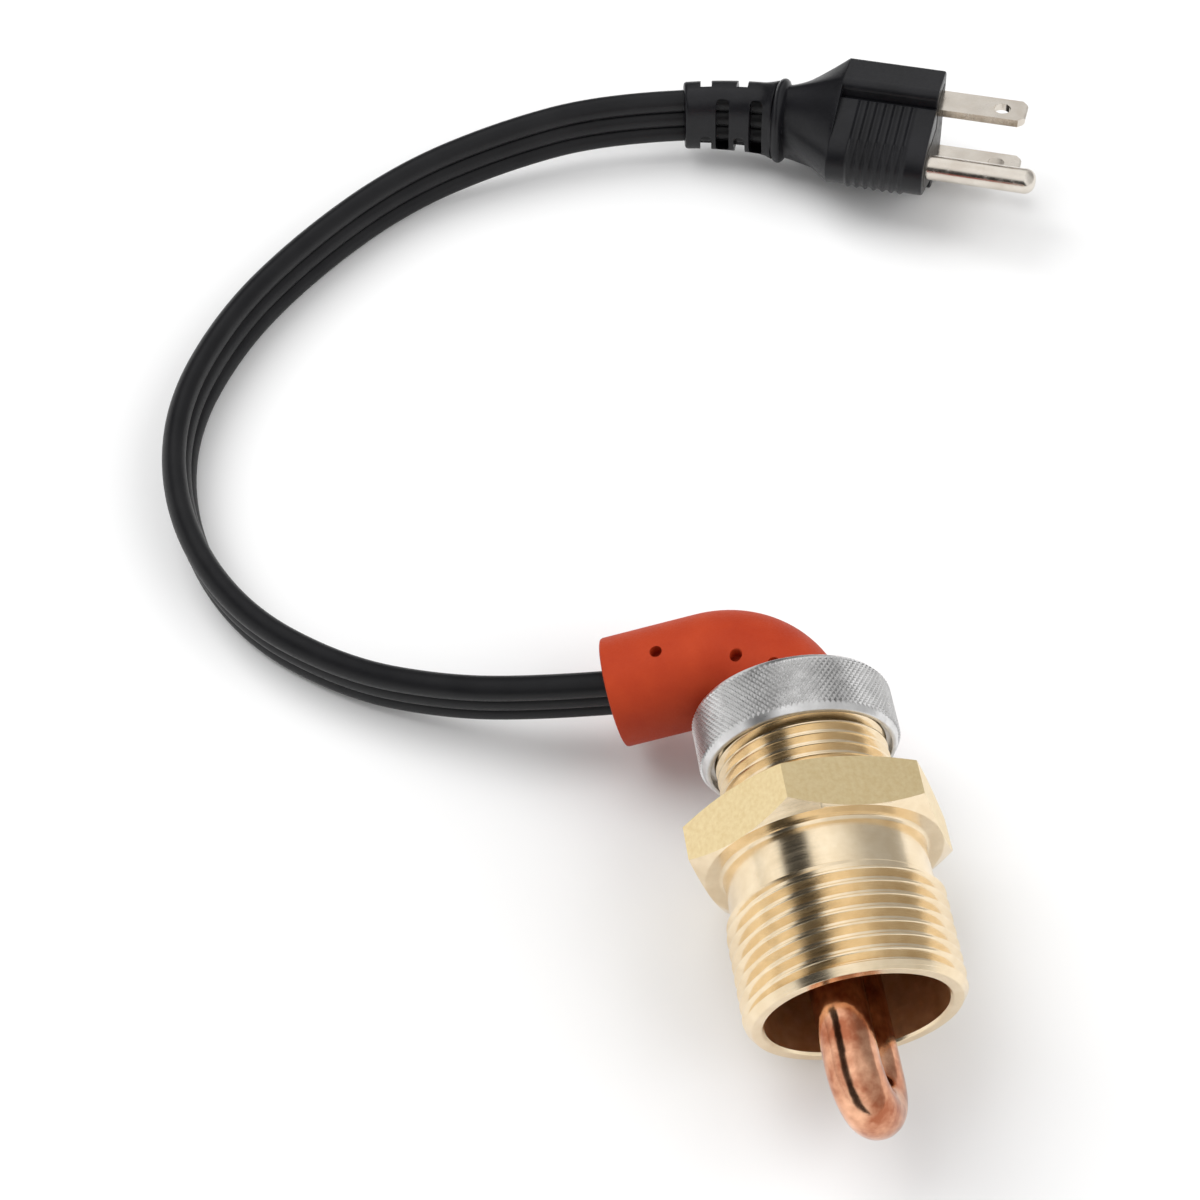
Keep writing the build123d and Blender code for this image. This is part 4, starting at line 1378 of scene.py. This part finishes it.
        tree.links.new(white.outputs["Background"], whole.inputs[2])
        tree.links.new(whole.outputs["Shader"], output.inputs["Surface"])
        bpy.context.scene.world = world

    def soft_side(
        self,
        tree: bpy.types.NodeTree,
        coords: bpy.types.Node,
        side: tuple[float, float, float],
        edges: tuple[float, float],
        tones: tuple[float, float],
    ) -> bpy.types.NodeSocket:
        """Gives the room a tone that changes towards one side.

        Args:
            tree: the world's nodes.
            coords: its texture coordinates.
            side: the direction that the change is measured from.
            edges: where the change starts and ends, as the cosine of the angle from that direction.
            tones: the tone before and after the change.

        Returns:
            The tone's socket.
        """
        lean = tree.nodes.new("ShaderNodeVectorMath")
        lean.operation = "DOT_PRODUCT"
        lean.inputs[1].default_value = Vector(side).normalized()
        tone = tree.nodes.new("ShaderNodeMapRange")
        tone.interpolation_type = "SMOOTHSTEP"
        for name, value in zip(("From Min", "From Max", "To Min", "To Max"), edges + tones):
            tone.inputs[name].default_value = value
        tree.links.new(coords.outputs["Generated"], lean.inputs[0])
        tree.links.new(lean.outputs["Value"], tone.inputs["Value"])
        return tone.outputs["Result"]

    def build(self) -> None:
        """Builds the whole set."""
        bpy.context.scene.view_settings.view_transform = "Standard"
        self.camera()
        self.floor()
        self.world()
        self.lamp("key", Vector((-0.5, 0.5, 0.9)), 0.9, 9.0)
        self.lamp("fill", Vector((0.7, -0.35, 0.7)), 0.9, 6.0)


@dataclass
class PowerCord:
    """The flat cord: a spline on the CAD route and a three-lobed jacket along it."""

    lobe_radius: float = 2.1
    lobe_spacing: float = 3.5
    lobe_steps: int = 20
    samples_per_run: int = 16
    lean_at_boot: float = -6.5
    lean_at_plug: float = -7.1
    route: Sequence[tuple[float, float, float]] = (
        (-25.61, 46.78, -6.48),
        (-38.49, 48.62, -8.43),
        (-53.5, 52.5, -11.0),
        (-69.8, 60.2, -13.7),
        (-86.6, 74.3, -14.3),
        (-95.9, 95.2, -14.3),
        (-95.8, 118.4, -14.3),
        (-85.4, 139.6, -14.3),
        (-70.0, 156.6, -14.3),
        (-50.5, 171.7, -14.1),
        (-29.5, 178.1, -11.7),
        (-9.26, 181.19, -10.27),
        (6.63, 179.46, -9.76),
    )

    def centreline(self) -> list[Vector]:
        """Reads the route's smooth line from a NURBS spline.

        Returns:
            Points along the line, in metres.
        """
        data = bpy.data.curves.new("cord_route", "CURVE")
        data.dimensions = "3D"
        data.resolution_u = self.samples_per_run
        spline = data.splines.new("NURBS")
        spline.points.add(len(self.route) - 1)
        for point, place in zip(spline.points, self.route):
            point.co = (*(Vector(place) * MM), 1.0)
        spline.order_u = 3
        spline.use_endpoint_u = True
        guide = bpy.data.objects.new("cord_route", data)
        bpy.context.collection.objects.link(guide)
        mesh = bpy.data.meshes.new_from_object(guide)
        points = [vert.co.copy() for vert in mesh.vertices]
        bpy.data.meshes.remove(mesh)
        bpy.data.objects.remove(guide)
        bpy.data.curves.remove(data)
        return points

    def section(self) -> list[tuple[float, float]]:
        """The jacket's outline, as (sideways, up) round its three lobes."""
        groove = math.acos(self.lobe_spacing / 2 / self.lobe_radius)
        outline: list[tuple[float, float]] = []
        for lobe in (1, 0, -1):
            start, end = (math.pi / 2 + groove) * 0, 0.0
            if lobe == 1:
                start, end = -(math.pi / 2 - groove), math.pi / 2
            elif lobe == 0:
                start, end = -(math.pi / 2 - groove), math.pi / 2 - groove
            else:
                start, end = -math.pi / 2, math.pi / 2 - groove
            steps = self.lobe_steps // (1 if lobe else 2)
            for step in range(steps + 1):
                turn = end + (start - end) * step / steps
                outline.append(
                    (self.lobe_radius * math.cos(turn), lobe * self.lobe_spacing + self.lobe_radius * math.sin(turn))
                )
        mirrored = [(-side, up) for side, up in reversed(outline)]
        return outline + mirrored[1:-1]

    def jacket(self, line: Sequence[Vector]) -> bmesh.types.BMesh:
        """Extrudes the section along the line.

        Args:
            line: the centreline in metres.

        Returns:
            The jacket in millimetres.
        """
        bm = bmesh.new()
        outline = self.section()
        ring = [bm.verts.new((side, up, 0.0)) for side, up in outline]
        edges = [bm.edges.new(pair) for pair in zip(ring, ring[1:] + ring[:1])]
        bmesh.ops.contextual_create(bm, geom=edges)
        placed = Matrix.Identity(4)
        length = len(line) - 1
        for index, point in enumerate(line):
            ahead = (line[min(index + 1, length)] - line[max(index - 1, 0)]).normalized()
            side = ahead.cross(Vector((0, 0, 1))).normalized()
            up = side.cross(ahead)
            lean = self.lean_at_boot + (self.lean_at_plug - self.lean_at_boot) * index / length
            turn = Matrix.Rotation(math.radians(lean), 4, ahead)
            base = Matrix((side, up, ahead)).transposed().to_4x4()
            target = Matrix.Translation(point / MM) @ turn @ base
            if index > 0:
                grown = bmesh.ops.extrude_edge_only(bm, edges=edges)
                ring = [item for item in grown["geom"] if isinstance(item, bmesh.types.BMVert)]
                edges = [item for item in grown["geom"] if isinstance(item, bmesh.types.BMEdge)]
                edges = [edge for edge in edges if edge.verts[0] in ring and edge.verts[1] in ring]
            bmesh.ops.transform(bm, matrix=target @ placed.inverted(), verts=ring)
            placed = target
        bmesh.ops.contextual_create(bm, geom=edges)
        bmesh.ops.recalc_face_normals(bm, faces=bm.faces)
        return bm

    def build(self, on_cord: Sequence[bpy.types.Object]) -> None:
        """Args:
            on_cord: the pieces on the cord; not used.
        """
        line = self.centreline()
        piece = finish_piece(
            "cord_jacket", self.jacket(line), Body.CONNECTOR,
            [CORD_RUBBER.material()], ["power_cord"], 60.0,
        )


def dress_frame() -> None:
    """Gives each CAD node that stays visible its finish."""
    nickel = NICKEL.material()
    phenolic = DARK_PHENOLIC.material()
    vinyl = PLUG_VINYL.material()
    powder = PALE_POWDER.material()
    copper = COPPER.material()
    braze = BRAZE.material()
    rubber = BOOT_RUBBER.material()
    for node in ("blade_line", "blade_neutral", "ground_prong"):
        dress_node(node, nickel)
    for node in ("terminal_pin_line", "terminal_pin_neutral", "ground_pin"):
        dress_node(node, nickel)
    for node in ("contact_line", "contact_neutral", "contact_ground", "resistance_coil"):
        dress_node(node, nickel)
    for node in ("terminal_insulator", "socket_insert", "plug_bridge"):
        dress_node(node, phenolic)
    for node in ("lead_line", "lead_neutral", "lead_ground"):
        dress_node(node, vinyl)
    for node in ("plug_lead_line", "plug_lead_neutral", "plug_lead_ground"):
        dress_node(node, vinyl)
    dress_node("magnesia_fill", powder)
    dress_node("element_sheath", copper)
    dress_node("braze_fillets", braze)
    dress_node("element_seals", rubber)


def main() -> None:
    """Builds the set and the heater's pieces in order."""
    logging.basicConfig(level=logging.INFO, format="%(name)s: %(message)s")
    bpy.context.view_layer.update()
    Studio().build()
    nodes = frame["nodes"]
    cord = PowerCord()
    cover = PlugCover().build(cord.section())
    cord.build(
        [cover] + [nodes[name] for name in (
            "plug_bridge", "blade_line", "blade_neutral", "ground_prong",
            "plug_lead_line", "plug_lead_neutral", "plug_lead_ground",
        )]
    )
    dress_frame()
    BrassBody().build()
    CouplingRing().build()
    ElbowBoot().build()


if __name__ == "__main__":
    main()
